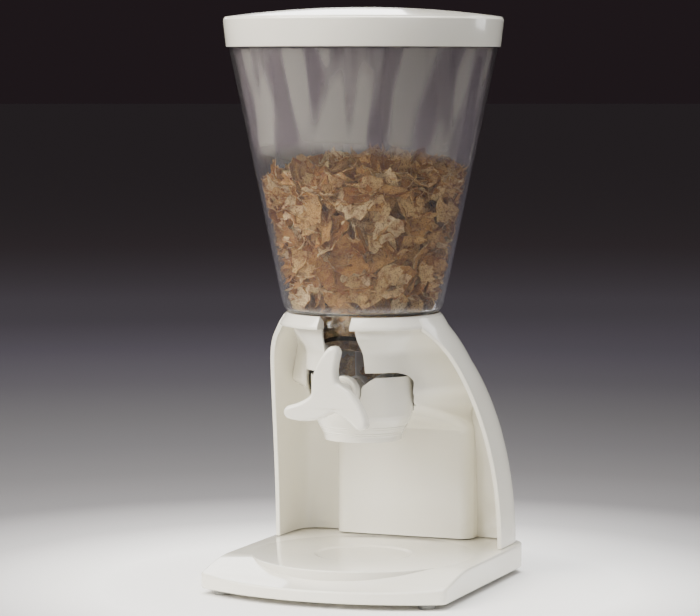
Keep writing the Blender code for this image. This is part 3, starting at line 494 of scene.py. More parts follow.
bell = bmesh.new()
upper = None
for row in range(-len(cone_rows), bell_rows + 1):
    fall = (max(row, 0) / bell_rows) ** row_power
    z = lip_low + (column_foot - lip_low) * fall
    line = bell_line(fall, bell_points)
    if row < 0:
        radius, z = cone_rows[row]
        tuck = radius / shoulder_half
        line = [(x * tuck, y * tuck) for x, y in line]
    verts = [bell.verts.new((x, y, z)) for x, y in line]
    edges = [bell.edges.new(pair) for pair in zip(verts, verts[1:])]
    if upper:
        bmesh.ops.bridge_loops(bell, edges=upper + edges)
    upper = edges
bmesh.ops.recalc_face_normals(bell, faces=bell.faces)
rearmost = max(bell.faces, key=lambda f: f.calc_center_median().y)
if rearmost.normal.y < 0:
    bmesh.ops.reverse_faces(bell, faces=bell.faces)
bell_piece = finish_piece("column_bell", bell, ivory, "stand", ["column_shell"], 180)
shell = bell_piece.modifiers.new("wall", "SOLIDIFY")
shell.thickness = shell_wall
shell.offset = -1
shell.use_even_offset = True
soften(bell_piece, bell_rounding, 4, 55)

# Seat ring: the top of the column moulding. Its sloped seat carries the canister's floor, its outer
# lip overhangs the column's front edge, and a slot in front lets the wheel's bush slide in from above.

ring_inner, ring_rounding, ring_edge = 0.0490, 0.0012, 0.0006
ring_line = [
    (0.0566, 0.2056), (0.0576, 0.2052), (0.0622, 0.1985), (0.0623, lip_low), (ring_inner, lip_low),
    (ring_inner, 0.2008),
]
slot_reach = 0.08
# The slot is parallel in the ring and grows wider downwards in the collar.
slot_line = [
    (0.0166, 0.120), (0.0166, 0.1633), (0.0160, 0.1710), (0.0148, 0.1800), (0.0136, 0.1870),
    (0.0130, 0.1958), (0.0126, 0.1962), (0.0126, 0.215),
]
slot_line += mirrored(slot_line)


def front_tool(name, outline, near, depth):
    """A cutter with the outline as seen from the front, which starts at near and runs to the rear."""
    return helper(name, raised(outline, lambda x, z: (x, near, z), (0, depth, 0)))


ring = spun(eased(ring_line, ring_rounding), 200)
ring = carve(ring, front_tool("ring_slot", slot_line, -slot_reach, slot_reach))
ring_piece = finish_piece("seat_ring", ring, ivory, "stand", ["column_shell"], 35)
soften(ring_piece, ring_edge, 3)

# Inner housing: a second ABS moulding inside the column. At the top it is a split collar round the
# canister's neck; below the collar it draws back in a smooth sweep behind the outlet cup and ends as
# a flat-fronted box. It stands a hair above the base, which shows as a thin dark line.

housing_low, housing_high, housing_step, housing_wall = 0.0242, 0.1956, 0.003, 0.0024
sweep_low, sweep_high = 0.108, 0.150
flare_low, flare_high, collar_flare = 0.1755, 0.1940, 0.0094
# The box's half width, front and half flat, and how much each changes up to the collar.
box_half, box_front, box_flat = 0.0560, 0.0830, 0.0460
half_change, front_change, flat_change = 0.0140, 0.1250, 0.0440
leg_steps, leg_step = 12, 0.0115
room_gap, room_drop, room_rows, room_points = 0.0037, 0.004, 40, 40
front_reach, arch_depth = -0.09, 0.0953
arch_corner, arch_rounding, housing_rounding = (0.0331, 0.1533), 0.0100, 0.0005
shaft_radius, shaft_throat, shaft_low, shaft_high = 0.0396, 0.0376, 0.100, 0.1613


def housing_line(z, inset):
    """Plan of the housing at a height: a U that opens out to the rear, from its left leg to its right."""
    sweep = eased_share(z, sweep_low, sweep_high)
    flare = collar_flare * eased_share(z, flare_low, flare_high)
    half = box_half - half_change * sweep + flare
    front = box_front - front_change * sweep - flare
    flat = box_flat - flat_change * sweep
    corner = half - flat
    angle = radians(20) * sweep
    line = arc((flat, front + corner), corner - inset, -pi / 2, -angle, 26)
    for _ in range(leg_steps):
        angle += radians(40) * sweep / leg_steps
        x, y = line[-1]
        line.append((x + leg_step * sin(angle), y + leg_step * cos(angle)))
    return mirrored(line) + line


def lofted(rows):
    """A closed block through loops of points, one above the other."""
    shape = bmesh.new()
    upper = None
    for row in rows:
        verts = [shape.verts.new(point) for point in row]
        edges = [shape.edges.new((verts[i], verts[(i + 1) % len(verts)])) for i in range(len(verts))]
        if upper:
            bmesh.ops.bridge_loops(shape, edges=upper + edges)
        upper = edges
    bmesh.ops.holes_fill(shape, edges=shape.edges, sides=0)
    bmesh.ops.recalc_face_normals(shape, faces=shape.faces)
    return shape


def housing_block(inset, low, high):
    """The housing's outside or inside as a closed block."""
    count = round((high - low) / housing_step)
    levels = [low + (high - low) * row / count for row in range(count + 1)]
    return lofted([[(x, y, z) for x, y in housing_line(z, inset)] for z in levels])


def room_row(fall):
    """The space inside the bell at one height, which runs out to the front."""
    z = lip_low + (column_foot - room_drop - lip_low) * fall
    line = bell_line(fall, room_points)
    middle = Vector((0, max(line[0][1], 0)))
    points = []
    for x, y in line:
        away = Vector((x, y)) - middle
        inner = middle + away * (1 - room_gap / max(away.length, 1e-6))
        points.append((inner.x, inner.y, z))
    return points + [(points[-1][0], front_reach, z), (points[0][0], front_reach, z)]


housing = housing_block(0, housing_low, housing_high)
inside = housing_block(housing_wall, housing_low - overrun, housing_high + overrun)
arch_line = [(0.0403, 0.1280), (0.0403, 0.1374), (0.0424, 0.1441)]
arch_line += arc(arch_corner, arch_rounding, 0, pi / 2, 16)
arch_line += mirrored(arch_line)
# The shaft narrows below the arch with the cup, so that no dark gap shows beside it.
shaft_line = [
    (0, shaft_low), (shaft_throat, shaft_low), (shaft_throat, 0.1310), (shaft_radius, 0.1400),
    (shaft_radius, shaft_high), (0, shaft_high),
]
room = lofted([room_row((row / room_rows) ** row_power) for row in range(room_rows + 1)])
housing = carve(housing, helper("room", room), operation="INTERSECT")
housing = carve(
    housing, helper("inside", inside), front_tool("arch", arch_line, front_reach, arch_depth),
    front_tool("collar_slot", slot_line, -slot_reach, slot_reach),
    helper("shaft", spun(shaft_line, 160, closed=False)),
)
housing_piece = finish_piece("inner_housing", housing, ivory, "stand", ["column_box"], 35)
soften(housing_piece, housing_rounding, 3)

# Column screws: zinc-plated steel, driven from below through the base into the column's posts.
# Plating gives a bright grey, slightly uneven over about 1.5 mm. The axle's clip has the same finish.


def dress_node(name, finish):
    """Gives a CAD node that is shown as it is its finish."""
    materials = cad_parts[name].data.materials
    materials.clear()
    materials.append(finish)


plated, tree, shader, place = start_finish("zinc_plated_steel", Metallic=1.0, Roughness=0.3)
two_tone(tree, shader, place, 700.0, 3.0, [(0.3, "#A9A9A8"), (0.7, "#C4C4C2")])
for kept in ("column_screw_1", "column_screw_2", "column_screw_3", "axle_clip"):
    dress_node(kept, plated)

# Canister: clear SAN, moulded in one piece with its funnel floor, its neck and the flat walls of
# the wheel chamber. SAN is hard and glossy, with a faint smoky tinge in its thickness. Flow lines of
# the moulding make its wall wavy, over about 40 mm.

clear, tree, shader, place = start_finish(
    "clear_moulded_san", Base_Color=tint("#F7F5F5"), Roughness=0.02, IOR=1.50, Transmission_Weight=0.985
)
flow = add_node(tree, "ShaderNodeMapping", {"Vector": place, "Scale": (1.0, 1.0, 0.25)})
relief(tree, shader, flow.outputs["Vector"], 24.0, 1.0, 0.25, 0.0010)

axle_z = 0.149
neck_end, neck_inner, neck_outer = 0.1318, 0.0329, 0.0350
wall_foot_radius, wall_foot_z = 0.0588, 0.2168
wall_top_radius, wall_top_z = 0.09725, 0.4024
funnel_top_radius, throat_radius = 0.0562, 0.0345
outer_rim_radius, pot_top = 0.09975, 0.4211
chamber_outer, chamber_inner, chamber_reach = 0.0175, 0.0159, 0.038
front_pad_radius, rear_pad_radius, pad_face = 0.0115, 0.0090, 0.0359
front_bore_radius, rear_bore_radius, bore_reach = 0.00858, 0.00618, 0.05
pot_rounding, pot_steps = 0.0022, 240

pot_line = [
    (outer_rim_radius, pot_top), (outer_rim_radius, 0.4019), (0.06108, 0.2155), (0.0602, 0.2115),
    (0.0570, 0.2064), (0.0366, 0.19314), (neck_outer, neck_end), (neck_inner, neck_end),
    (throat_radius, 0.19480), (funnel_top_radius, 0.20889), (0.0577, 0.2120),
    (wall_foot_radius, wall_foot_z), (wall_top_radius, wall_top_z), (wall_top_radius, pot_top),
]
pot = spun(eased(pot_line, pot_rounding), pot_steps)
core_line = [(0, 0.1940), (0.0356, 0.1940), (0.0340, neck_end), (0, neck_end)]
for side in (-1, 1):
    chord = [
        (side * chamber_inner, neck_end), (side * chamber_outer, neck_end), (side * chamber_outer, 0.1774),
        (side * 0.0366, 0.18791), (side * 0.0366, 0.19111), (side * chamber_inner, 0.1790),
    ]
    plank = raised(chord, lambda y, z: (-chamber_reach, y, z), (2 * chamber_reach, 0, 0))
    plank = carve(plank, helper("core", spun(core_line, 96, closed=False)), operation="INTERSECT")
    pot = carve(pot, helper("plank", plank), operation="UNION")


def cross_rod(name, radius, near, far):
    """A rod along Y at the height of the axle, for a Boolean."""
    shape = bmesh.new()
    turned = Matrix.Translation((0, (near + far) / 2, axle_z)) @ Matrix.Rotation(pi / 2, 4, "X")
    bmesh.ops.create_cone(
        shape, cap_ends=True, segments=48, radius1=radius, radius2=radius, depth=far - near, matrix=turned
    )
    return helper(name, shape)


front_pad = cross_rod("front_pad", front_pad_radius, -pad_face, -neck_inner)
rear_pad = cross_rod("rear_pad", rear_pad_radius, neck_inner, pad_face)
pot = carve(pot, front_pad, rear_pad, operation="UNION")
front_bore = cross_rod("front_bore", front_bore_radius, -bore_reach, 0)
rear_bore = cross_rod("rear_bore", rear_bore_radius, 0, bore_reach)
pot = carve(pot, front_bore, rear_bore)
finish_piece("clear_canister", pot, clear, "canister_unit", ["canister"], 32)

# Outlet cup: ivory ABS, pushed over the neck. Its rim dips round the wheel's bush, and four faint
# rings run round the outlet.

cup_line = [
    (0.0392, 0.1593), (0.0388, 0.1420), (0.0372, 0.1297), (0.03619, 0.12655), (0.0340, 0.12261),
    (0.03132, 0.11788), (0.02947, 0.11433), (0.0290, 0.1128),
]
ring_rise, ring_width = 0.0002, 0.0003
for ring_z, r in ((0.1209, 0.0331), (0.1194, 0.0322), (0.1164, 0.0306), (0.1149, 0.0298)):
    cup_line += [(r, ring_z + ring_width), (r + ring_rise, ring_z), (r, ring_z - ring_width)]
cup_line = sorted(cup_line, key=lambda point: -point[1])
cup_line += [
    (0.0288, 0.1100), (0.0270, 0.1100), (0.0270, 0.1128), (0.0329, 0.1294), (0.0329, 0.1315),
    (0.0353, 0.1315), (0.0361, 0.1593),
]
cup_rounding, cup_edge, cup_steps = 0.0005, 0.0004, 200
cup = spun(eased(cup_line, cup_rounding, count=2), cup_steps)
cut_top, cut_depth = 0.17, 0.035
mouth_radius, mouth_near, notch_radius, notch_near = 0.0127, -0.05, 0.0096, 0.015
mouth_side = [
    (0.0128, 0.1515), (0.0136, 0.1532), (0.0160, 0.1551), (0.0190, 0.1574), (0.0216, 0.1590),
    (0.0225, cut_top),
]
notch_side = [(notch_radius, cut_top)]
mouth_line = arc((0, axle_z), mouth_radius, pi, 2 * pi, 24) + mouth_side + mirrored(mouth_side)
notch_line = arc((0, axle_z), notch_radius, pi, 2 * pi, 20) + notch_side + mirrored(notch_side)
mouth = front_tool("mouth", mouth_line, mouth_near, cut_depth)
notch = front_tool("notch", notch_line, notch_near, cut_depth)
cup = carve(cup, mouth, notch)
cup_piece = finish_piece("outlet_cup_shell", cup, ivory, "canister_unit", ["outlet_cup"], 35)
soften(cup_piece, cup_edge, 2)

# Front bush: ivory acetal, a disc with a sleeve that is pushed into the neck and carries the axle.
# The rear bush and the axle, hardly seen, are of the same plastic.


def to_axle(shape):
    """Turns a shape made about Z so that its +Z points to the rear along the axle."""
    turn = Matrix.Translation((0, 0, axle_z)) @ Matrix.Rotation(-pi / 2, 4, "X")
    bmesh.ops.transform(shape, matrix=turn, verts=shape.verts)
    return shape


bore, sleeve_radius, sleeve_end, bush_rounding = 0.00648, 0.00828, -0.0159, 0.0005
flange_radius, flange_rear, flange_front = 0.0121, -0.0362, -0.0445
bush_line = [
    (bore, sleeve_end), (sleeve_radius, sleeve_end), (sleeve_radius, flange_rear),
    (flange_radius, flange_rear), (flange_radius, -0.0436), (0.0113, flange_front), (bore, flange_front),
]
bush = to_axle(spun(eased(bush_line, bush_rounding, count=3), 96))
finish_piece("front_bush_ring", bush, ivory, "canister_unit", ["front_bush"])
for kept in ("rear_bush", "axle"):
    dress_node(kept, ivory)

# Paddle wheel: milky silicone, moulded with six soft vanes and pushed onto the axle. Silicone is
# satin and lets light bleed, with a grain of about 1.5 mm. The lid's seal is of the same rubber.

silicone, tree, shader, place = start_finish(
    "milky_silicone", Base_Color=tint("#F2F1EC"), Roughness=0.42, IOR=1.43, Transmission_Weight=0.15,
    Subsurface_Weight=0.25, Subsurface_Radius=(0.006, 0.005, 0.004), Subsurface_Scale=0.6,
)
relief(tree, shader, place, 600.0, 2.0, 0.1, 0.0001)
dress_node("lid_seal", silicone)

hub_inner, hub_outer, hub_half = 0.0062, 0.0098, 0.0153
vane_middle, vane_length, vane_thick, vane_width, vanes = 0.0187, 0.0186, 0.0016, 0.030, 6
hub_rounding, vane_rounding = 0.0006, 0.0005
hub_line = [(hub_inner, -hub_half), (hub_outer, -hub_half), (hub_outer, hub_half), (hub_inner, hub_half)]
wheel = spun(eased(hub_line, hub_rounding, count=3), 64)
vane_block = Matrix.Translation((vane_middle, 0, 0))
vane_block @= Matrix.Diagonal((vane_length, vane_thick, vane_width, 1))
for vane in range(vanes):
    turn = Matrix.Rotation(pi / 2 + 2 * pi / vanes * vane, 4, "Z")
    made = bmesh.ops.create_cube(wheel, size=1, matrix=turn @ vane_block)
    edges = {edge for vert in made["verts"] for edge in vert.link_edges}
    bmesh.ops.bevel(
        wheel, geom=list(edges), offset=vane_rounding, affect="EDGES", segments=3, profile=0.5, material=-1
    )
finish_piece("vane_wheel", to_axle(wheel), silicone, "wheel_unit", ["paddle_wheel"])

# Knob: ivory ABS, three lobes swept to one side like a propeller, on a round hub that is pushed
# onto the axle's front end.

knob_reach, knob_rear, knob_thick, knob_rounding = 0.0375, 0.0632, 0.0113, 0.0030
lobe_turns = (80, 200, 320)
# One lobe from its root round its tip to the next root: degrees, and shares of the knob's reach.
lobe_shares = (
    (96, 0.265), (80, 0.270), (62, 0.315), (47, 0.395), (33, 0.505), (21, 0.640), (12, 0.775), (6.5, 0.870),
    (3.0, 0.905), (0.5, 0.880), (0.0, 0.800), (0.5, 0.670), (0.0, 0.540), (-3.0, 0.415), (-10.0, 0.315),
)


def lobe_curve(reach, thickness, rounding):
    """The three-lobed outline as a flat curve with a rounded edge, made a mesh."""
    line = bpy.data.curves.new("lobe_line", "CURVE")
    line.dimensions = "2D"
    line.fill_mode = "BOTH"
    line.resolution_u = 6
    line.bevel_depth = rounding
    line.bevel_resolution = 5
    line.extrude = thickness / 2 - rounding
    spline = line.splines.new("BEZIER")
    points = []
    for turn in lobe_turns:
        points += [(reach * share, radians(turn + angle)) for angle, share in reversed(lobe_shares)]
    spline.bezier_points.add(len(points) - 1)
    for knot, (r, turn) in zip(spline.bezier_points, points):
        knot.co = (r * cos(turn), r * sin(turn), 0)
        knot.handle_left_type = knot.handle_right_type = "AUTO"
    spline.use_cyclic_u = True
    guide = bpy.data.objects.new("lobe_guide", line)
    scene.collection.objects.link(guide)
    bpy.context.view_layer.update()
    graph = bpy.context.evaluated_depsgraph_get()
    mesh = bpy.data.meshes.new_from_object(guide.evaluated_get(graph))
    bpy.data.objects.remove(guide, do_unlink=True)
    shape = bmesh.new()
    shape.from_mesh(mesh)
    bpy.data.meshes.remove(mesh)
    bmesh.ops.remove_doubles(shape, verts=shape.verts, dist=1e-5)
    bmesh.ops.recalc_face_normals(shape, faces=shape.faces)
    return shape


knob = lobe_curve(knob_reach, knob_thick, knob_rounding)
# A thin level band inside the rounded edge keeps the reflections of the flat face even.
band_width = 0.0005
for side in (-1, 1):
    flat = [face for face in knob.faces if face.normal.z * side > 0.999]
    bmesh.ops.inset_region(knob, faces=flat, thickness=band_width, use_boundary=True, use_even_offset=True)
# Made about Z, then turned so that the face looks to the front.
turn = Matrix.Translation((0, -knob_rear - knob_thick / 2, axle_z)) @ Matrix.Rotation(pi / 2, 4, "X")
bmesh.ops.transform(knob, matrix=turn, verts=knob.verts)
hub_radius, collar_radius, hub_rear, hub_front, blind_end = 0.0092, 0.0110, -0.0451, -0.0650, -0.0455
knob_hub_rounding = 0.0009
hub_line = [
    (0.0066, hub_rear), (hub_radius, hub_rear), (hub_radius, -0.0610), (collar_radius, -0.0636),
    (collar_radius, hub_front), (0, hub_front),
]
hub_line = [(0, blind_end)] + eased(hub_line, knob_hub_rounding, closed=False, count=3)
hub = to_axle(spun(hub_line, 64, closed=False))
hub_mesh = bpy.data.meshes.new("knob_hub")
hub.to_mesh(hub_mesh)
hub.free()
knob.from_mesh(hub_mesh)
finish_piece("lobed_knob", knob, ivory, "wheel_unit", ["knob"], 42)

# Lid: ivory ABS, a shallow dome with a flared skirt that rests on the canister's rim, and a plug
# ring inside that holds the seal.

dome_rise, lid_edge_radius, lid_edge_z, lid_wall = 0.0072, 0.1030, 0.4244, 0.0018
plug_inner, plug_outer, plug_low, lid_under, skirt_low = 0.0933, 0.0953, 0.4104, 0.4214, 0.4022
bow = (lid_edge_radius**2 + dome_rise**2) / (2 * dome_rise)
bow_centre = lid_edge_z + dome_rise - bow
crown = arc((0, bow_centre), bow, pi / 2, pi / 2 - asin(lid_edge_radius / bow), 28)
crown[0] = (0, crown[0][1])
ceiling = arc((0, bow_centre), bow - lid_wall, pi / 2 - asin(plug_inner / (bow - lid_wall)), pi / 2, 16)
ceiling[-1] = (0, ceiling[-1][1])
skirt_radius, lid_rounding, lid_steps = 0.1040, 0.0008, 240
edge_line = [
    crown[-1], (0.1032, 0.4236), (skirt_radius, 0.4226), (skirt_radius, 0.4216), (0.10185, skirt_low),
    (0.10015, skirt_low), (0.1021, lid_under), (plug_outer, lid_under), (plug_outer, plug_low),
    (plug_inner, plug_low), ceiling[0],
]
lid_line = crown[:-1] + eased(edge_line, lid_rounding, closed=False) + ceiling[1:]
cap = spun(lid_line, lid_steps, closed=False)
finish_piece("lid_cap", cap, ivory, "lid_unit", ["lid"], 50)

# Dry food: toasted bran flakes as poured in, a loose heap against the canister's wall, more of them
# in the neck, and a few in the upper pockets of the wheel. They are curled, blistered and ragged,
# and each is toasted a little more or less than the next.

toast, tree, shader, place = start_finish(
    "toasted_bran_flake", IOR=1.45, Specular_IOR_Level=0.35, Subsurface_Weight=0.10,
    Subsurface_Radius=(0.003, 0.0015, 0.0006), Subsurface_Scale=0.4,
)
each = add_node(tree, "ShaderNodeNewGeometry", {})
bake = add_node(tree, "ShaderNodeValToRGB", {"Fac": each.outputs["Random Per Island"]})
shade_stops(bake, [(0.0, "#A87434"), (0.35, "#CD9C50"), (0.7, "#E6BF78"), (1.0, "#FBE2AA")])
# Bran flecks of about 1 mm, drawn darker than the dough, and scorched blisters of about 4 mm.
fleck = add_node(tree, "ShaderNodeTexNoise", {"Vector": place, "Scale": 900.0, "Detail": 4.0})
scorch = add_node(tree, "ShaderNodeTexNoise", {"Vector": place, "Scale": 240.0, "Detail": 3.0})
spot_looks = ((fleck, 0.52, 0.66, 0.75, "#6E3B18"), (scorch, 0.48, 0.72, 0.8, "#8C5222"))
colour = bake.outputs["Color"]
for spots, low, high, most, code in spot_looks:
    share = add_node(
        tree,
        "ShaderNodeMapRange",
        {"Value": spots.outputs["Fac"], "From Min": low, "From Max": high, "To Max": most},
    )
    mixed = add_node(
        tree, "ShaderNodeMix", {0: share.outputs["Result"], 6: colour, 7: tint(code)}, data_type="RGBA"
    )
    colour = mixed.outputs[2]
tree.links.new(colour, shader.inputs["Base Color"])
dry = add_node(
    tree, "ShaderNodeMapRange", {"Value": scorch.outputs["Fac"], "To Min": 0.50, "To Max": 0.80}
)
tree.links.new(dry.outputs["Result"], shader.inputs["Roughness"])
rough_skin = add_node(
    tree, "ShaderNodeBump", {"Height": fleck.outputs["Fac"], "Strength": 0.8, "Distance": 0.0006}
).outputs["Normal"]
blister = add_node(
    tree,
    "ShaderNodeBump",
    {"Height": scorch.outputs["Fac"], "Strength": 0.9, "Distance": 0.0016, "Normal": rough_skin},
)
tree.links.new(blister.outputs["Normal"], shader.inputs["Normal"])

pour = random.Random(41)
flake_thick, flake_least, flake_growth = 0.0007, 0.0098, 0.0012


def flake(size, curl, seed):
    """One ragged flake about the origin: a grid trimmed to a rough disc, curled and blistered."""
    shape = bmesh.new()
    bmesh.ops.create_grid(shape, x_segments=5, y_segments=5, size=1)
    shift = Vector((seed * 7.3, seed * 3.1, seed * 1.7))
    for vert in shape.verts:
        x, y = vert.co.x, vert.co.y
        reach = max(abs(x), abs(y))
        if reach > 0.01:
            rounder = reach / hypot(x, y)
            blend = 0.35 + 0.65 * rounder
            x, y = x * blend, y * blend
        if reach > 0.9:
            ragged = 1 + 0.34 * noise.noise(Vector((x, y, 0)) * 2.6 + shift) + pour.uniform(-0.16, 0.16)
            x, y = x * ragged, y * ragged
        lift = curl * (x * x * 0.9 + x * y * 0.5) + 0.26 * noise.noise(Vector((x, y, 0)) * 1.7 + shift)
        lift += 0.12 * noise.noise(Vector((x, y, 3)) * 4.1 + shift)
        vert.co = Vector((x, y * 0.82, lift)) * size
    bmesh.ops.solidify(shape, geom=shape.faces[:], thickness=flake_thick)
    bmesh.ops.recalc_face_normals(shape, faces=shape.faces)
    mesh = bpy.data.meshes.new(f"flake_{seed}")
    shape.to_mesh(mesh)
    shape.free()
    return mesh


# Sixteen shapes, about 20 to 27 mm across and curled more or less.
flakes = [flake(flake_least + flake_growth * (i % 4), 0.22 + 0.12 * (i % 5), i) for i in range(16)]
lean = (wall_top_radius - wall_foot_radius) / (wall_top_z - wall_foot_z)
shoulder_z, shoulder_tall, throat_z, throat_tall = 0.2089, 0.0079, 0.1948, 0.0141
wall_gap = 0.0004


def pot_radius(z):
    """Inner radius of the canister at a height."""
    if z > wall_foot_z:
        return wall_foot_radius + lean * (z - wall_foot_z)
    if z > shoulder_z:
        return funnel_top_radius + (wall_foot_radius - funnel_top_radius) * (z - shoulder_z) / shoulder_tall
    return throat_radius + (funnel_top_radius - throat_radius) * max(z - throat_z, 0) / throat_tall


heap_top, heap_spread, heap_tilt, heap_droop, heap_bumps = 0.3165, 0.075, 0.0048, 0.0165, 0.0045


def heap_height(x, y):
    """Height of the heap over a point: highest near the middle, lowest at the left wall."""
    r = min(hypot(x, y) / heap_spread, 1)
    bump = heap_bumps * noise.noise(Vector((x * 45, y * 45, 5)))
    return heap_top + heap_tilt * x / heap_spread - heap_droop * r**1.6 + bump


def drop_flake(pile, where, tip, limit, scale=1.0):
    """Adds one flake to the pile at a place, turned as given, and kept inside limit(point)."""
    mesh = pour.choice(flakes).copy()
    spin = Matrix.Rotation(pour.uniform(0, 2 * pi), 4, "Z")
    mesh.transform(Matrix.Translation(where) @ tip @ spin @ Matrix.Scale(scale * pour.uniform(0.75, 1.2), 4))
    push = max((limit(vert.co) for vert in mesh.vertices), key=lambda move: move.length)
    mesh.transform(Matrix.Translation(push))
    pile.from_mesh(mesh)
    bpy.data.meshes.remove(mesh)


def off_the_wall(point):
    """How far a point has to move inwards to stay clear of the canister's wall."""
    r = hypot(point.x, point.y)
    over = r - (pot_radius(point.z) - wall_gap)
    if over <= 0:
        return Vector((0, 0, 0))
    return Vector((-point.x / r * over, -point.y / r * over, 0))


def random_tip(axis, lie):
    """A turn whose flat side faces roughly along the axis; lie = 0 is flat, 1 is any way round."""
    tilt = Vector((pour.gauss(0, 1), pour.gauss(0, 1), pour.gauss(0, 1))) * lie
    return (axis + tilt).to_track_quat("Z", "X").to_matrix().to_4x4()


# Three layers against the wall, each with its depth and how loosely its flakes lie.
wall_layers = ((0.0038, 0.38), (0.0110, 0.7), (0.0190, 0.9))
heap_foot, heap_brim, row_rise = 0.2115, 0.318, 0.0125
flake_gap, gap_growth, scatter, brim_gap = 0.0180, 0.0020, 0.003, 0.002
for layer, (depth, lie) in enumerate(wall_layers):
    pile = bmesh.new()
    row = 0
    z = heap_foot
    while z < heap_brim:
        around = int(2 * pi * pot_radius(z) / (flake_gap + gap_growth * layer))
        for i in range(around):
            turn = 2 * pi * (i + 0.5 * (row % 2) + pour.uniform(-0.3, 0.3)) / around
            r = pot_radius(z) - depth - pour.uniform(0, scatter)
            where = Vector((r * cos(turn), r * sin(turn), z + pour.uniform(-scatter, scatter)))
            if where.z < heap_height(where.x, where.y) - brim_gap:
                tip = random_tip(Vector((cos(turn), sin(turn), -0.2)), lie)
                drop_flake(pile, where, tip, off_the_wall)
        z += row_rise
        row += 1
    finish_piece(f"bran_wall_layer_{layer + 1}", pile, toast, "canister_unit", sharp=50)

# Two layers on top of the heap, each with its depth and how loosely its flakes lie.
top_layers = ((0.006, 0.5), (0.001, 0.7))
column_gap, row_gap, top_reach = 0.0092, 0.0082, 0.074
pile = bmesh.new()
for low, lie in top_layers:
    for row in range(-9, 10):
        for column in range(-9, 10):
            x = (column + 0.5 * (row % 2)) * column_gap + pour.uniform(-scatter, scatter)
            y = row * row_gap + pour.uniform(-scatter, scatter)
            if hypot(x, y) > top_reach:
                continue
            where = Vector((x, y, heap_height(x, y) - low + pour.uniform(-0.002, 0.0025)))
            drop_flake(pile, where, random_tip(Vector((0, 0, 1)), lie), off_the_wall)
finish_piece("bran_heap_top", pile, toast, "canister_unit", sharp=50)

# The inside of the heap is a near-black core, painted shade that stands in for the shadow deep among the
# flakes; it shows only in the gaps between them.
painted_shade_core, tree, shader, place = start_finish("bran_core_painted_shade", Roughness=0.9)
# Painted shade: near-black browns for the dark gaps deep in the heap.
two_tone(tree, shader, place, 260.0, 4.0, [(0.35, "#0B0704"), (0.65, "#2C1A0E")])
core_inset = 0.0215
core_line = [(0, 0.2000)]
core_line += [(pot_radius(z) - core_inset, z) for z in (0.2080, 0.2150, 0.2400, 0.2700, 0.2860)]
core_line += [(0.040, 0.2990), (0.020, 0.3050), (0, 0.3060)]
finish_piece("bran_heap_core", spun(core_line, 64, closed=False), painted_shade_core, "canister_unit")

chamber_half, chamber_top, throat_half, funnel_low, pocket_low = 0.0148, 0.180, 0.0300, 0.194, 0.1782


def in_the_neck(point):
    """How far a point has to move to stay in the funnel and between the chamber's walls."""
    half = chamber_half + max(point.z - chamber_top, 0) * 1.45
    over_y = abs(point.y) - half
    over_x = abs(point.x) - throat_half - max(point.z - funnel_low, 0) * 1.3
    move = Vector((0, 0, 0))
    if over_y > 0:
        move.y = -over_y if point.y > 0 else over_y
    if over_x > 0:
        move.x = -over_x if point.x > 0 else over_x
    if point.z < pocket_low:
        move.z = pocket_low - point.z
    return move


# Two heaps in the neck: how many flakes, from and to which height, and their half widths.
neck_heaps = ((46, 0.183, 0.192, 0.024, 0.012), (60, 0.192, 0.207, 0.034, 0.030))
pile = bmesh.new()
for count, low, high, half_x, half_y in neck_heaps:
    for _ in range(count):
        x, y = pour.uniform(-half_x, half_x), pour.uniform(-half_y, half_y)
        where = Vector((x, y, pour.uniform(low, high)))
        drop_flake(pile, where, random_tip(Vector((0, -0.6, 1)), 0.9), in_the_neck, 0.8)
finish_piece("bran_in_neck", pile, toast, "canister_unit", sharp=50)

pocket_half, pocket_reach, pocket_flakes = 0.0142, 0.0272, 15


def in_a_pocket(point):
    """How far a point has to move to stay between two vanes of the wheel's upper half."""
    move = Vector((0, 0, 0))
    if abs(point.y) > pocket_half:
        move.y = (pocket_half - abs(point.y)) * (1 if point.y > 0 else -1)
    r = hypot(point.x, point.z - axle_z)
    if r > pocket_reach:
        pull = (pocket_reach - r) / r
        move.x, move.z = point.x * pull, (point.z - axle_z) * pull
    return move


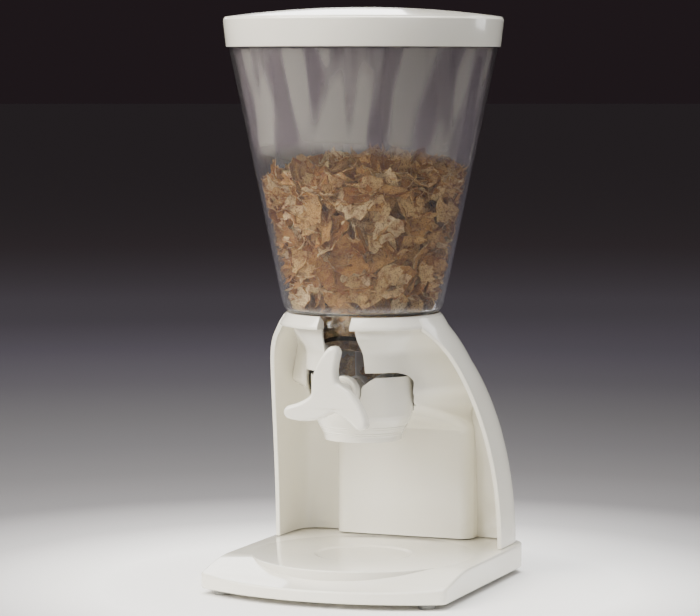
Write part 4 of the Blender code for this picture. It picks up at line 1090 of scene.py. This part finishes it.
pile = bmesh.new()
for side in (-1, 1):
    for _ in range(pocket_flakes):
        turn = pi / 2 - side * radians(pour.uniform(20, 42))
        r = pour.uniform(0.015, 0.021)
        where = Vector((r * cos(turn), pour.uniform(-0.010, 0.010), axle_z + r * sin(turn)))
        drop_flake(pile, where, random_tip(Vector((0, -1, 0.5)), 0.7), in_a_pocket, 0.55)
finish_piece("bran_in_wheel", pile, toast, "wheel_unit", sharp=50)

# Fine bran dust clings to the inner wall above the heap and greys the clear plastic there. Its soft upright
# streaks of about 20 mm are painted reflection, light and dark grey in place of the soft boxes' streaky
# reflections in the wall. The film thins out to nothing where the flakes wipe the wall.

dust_and_reflection, tree, shader, place = start_finish("bran_dust_and_painted_reflection", Roughness=0.9)
upright = add_node(tree, "ShaderNodeMapping", {"Vector": place, "Scale": (1.0, 1.0, 0.04)})
# Painted reflection: upright streaks of light and dark grey, in place of the soft boxes' reflections in the
# clear wall.
two_tone(tree, shader, upright.outputs["Vector"], 46.0, 1.0, [(0.44, "#9A8E9A"), (0.56, "#E4E2DA")])
# Height with a little of the depth added, so that the film starts higher in front than behind.
level = add_node(
    tree, "ShaderNodeVectorMath", {0: place, 1: (0.0, 0.15, 1.0)}, operation="DOT_PRODUCT"
)
thin = add_node(
    tree,
    "ShaderNodeMapRange",
    {"Value": level.outputs["Value"], "From Min": 0.3110, "From Max": 0.3240, "To Max": 0.36},
    interpolation_type="SMOOTHSTEP",
)
tree.links.new(thin.outputs["Result"], shader.inputs["Alpha"])

film_low, film_high, film_outer, film_inner, film_steps = 0.2980, 0.4010, 0.0003, 0.0005, 120
film = bmesh.new()
rows = []
for inset, shares in ((film_outer, (0.0, 0.2, 1.0)), (film_inner, (1.0, 0.2, 0.0))):
    for share in shares:
        z = film_low + (film_high - film_low) * share
        r = pot_radius(z) - inset
        turns = [2 * pi * i / film_steps for i in range(film_steps)]
        rows.append([film.verts.new((r * cos(turn), r * sin(turn), z)) for turn in turns])
for lower, upper in zip(rows, rows[1:] + rows[:1]):
    for i in range(film_steps):
        j = (i + 1) % film_steps
        film.faces.new((lower[i], lower[j], upper[j], upper[i]))
bmesh.ops.recalc_face_normals(film, faces=film.faces)
finish_piece("bran_dust_and_reflection_film", film, dust_and_reflection, "canister_unit")
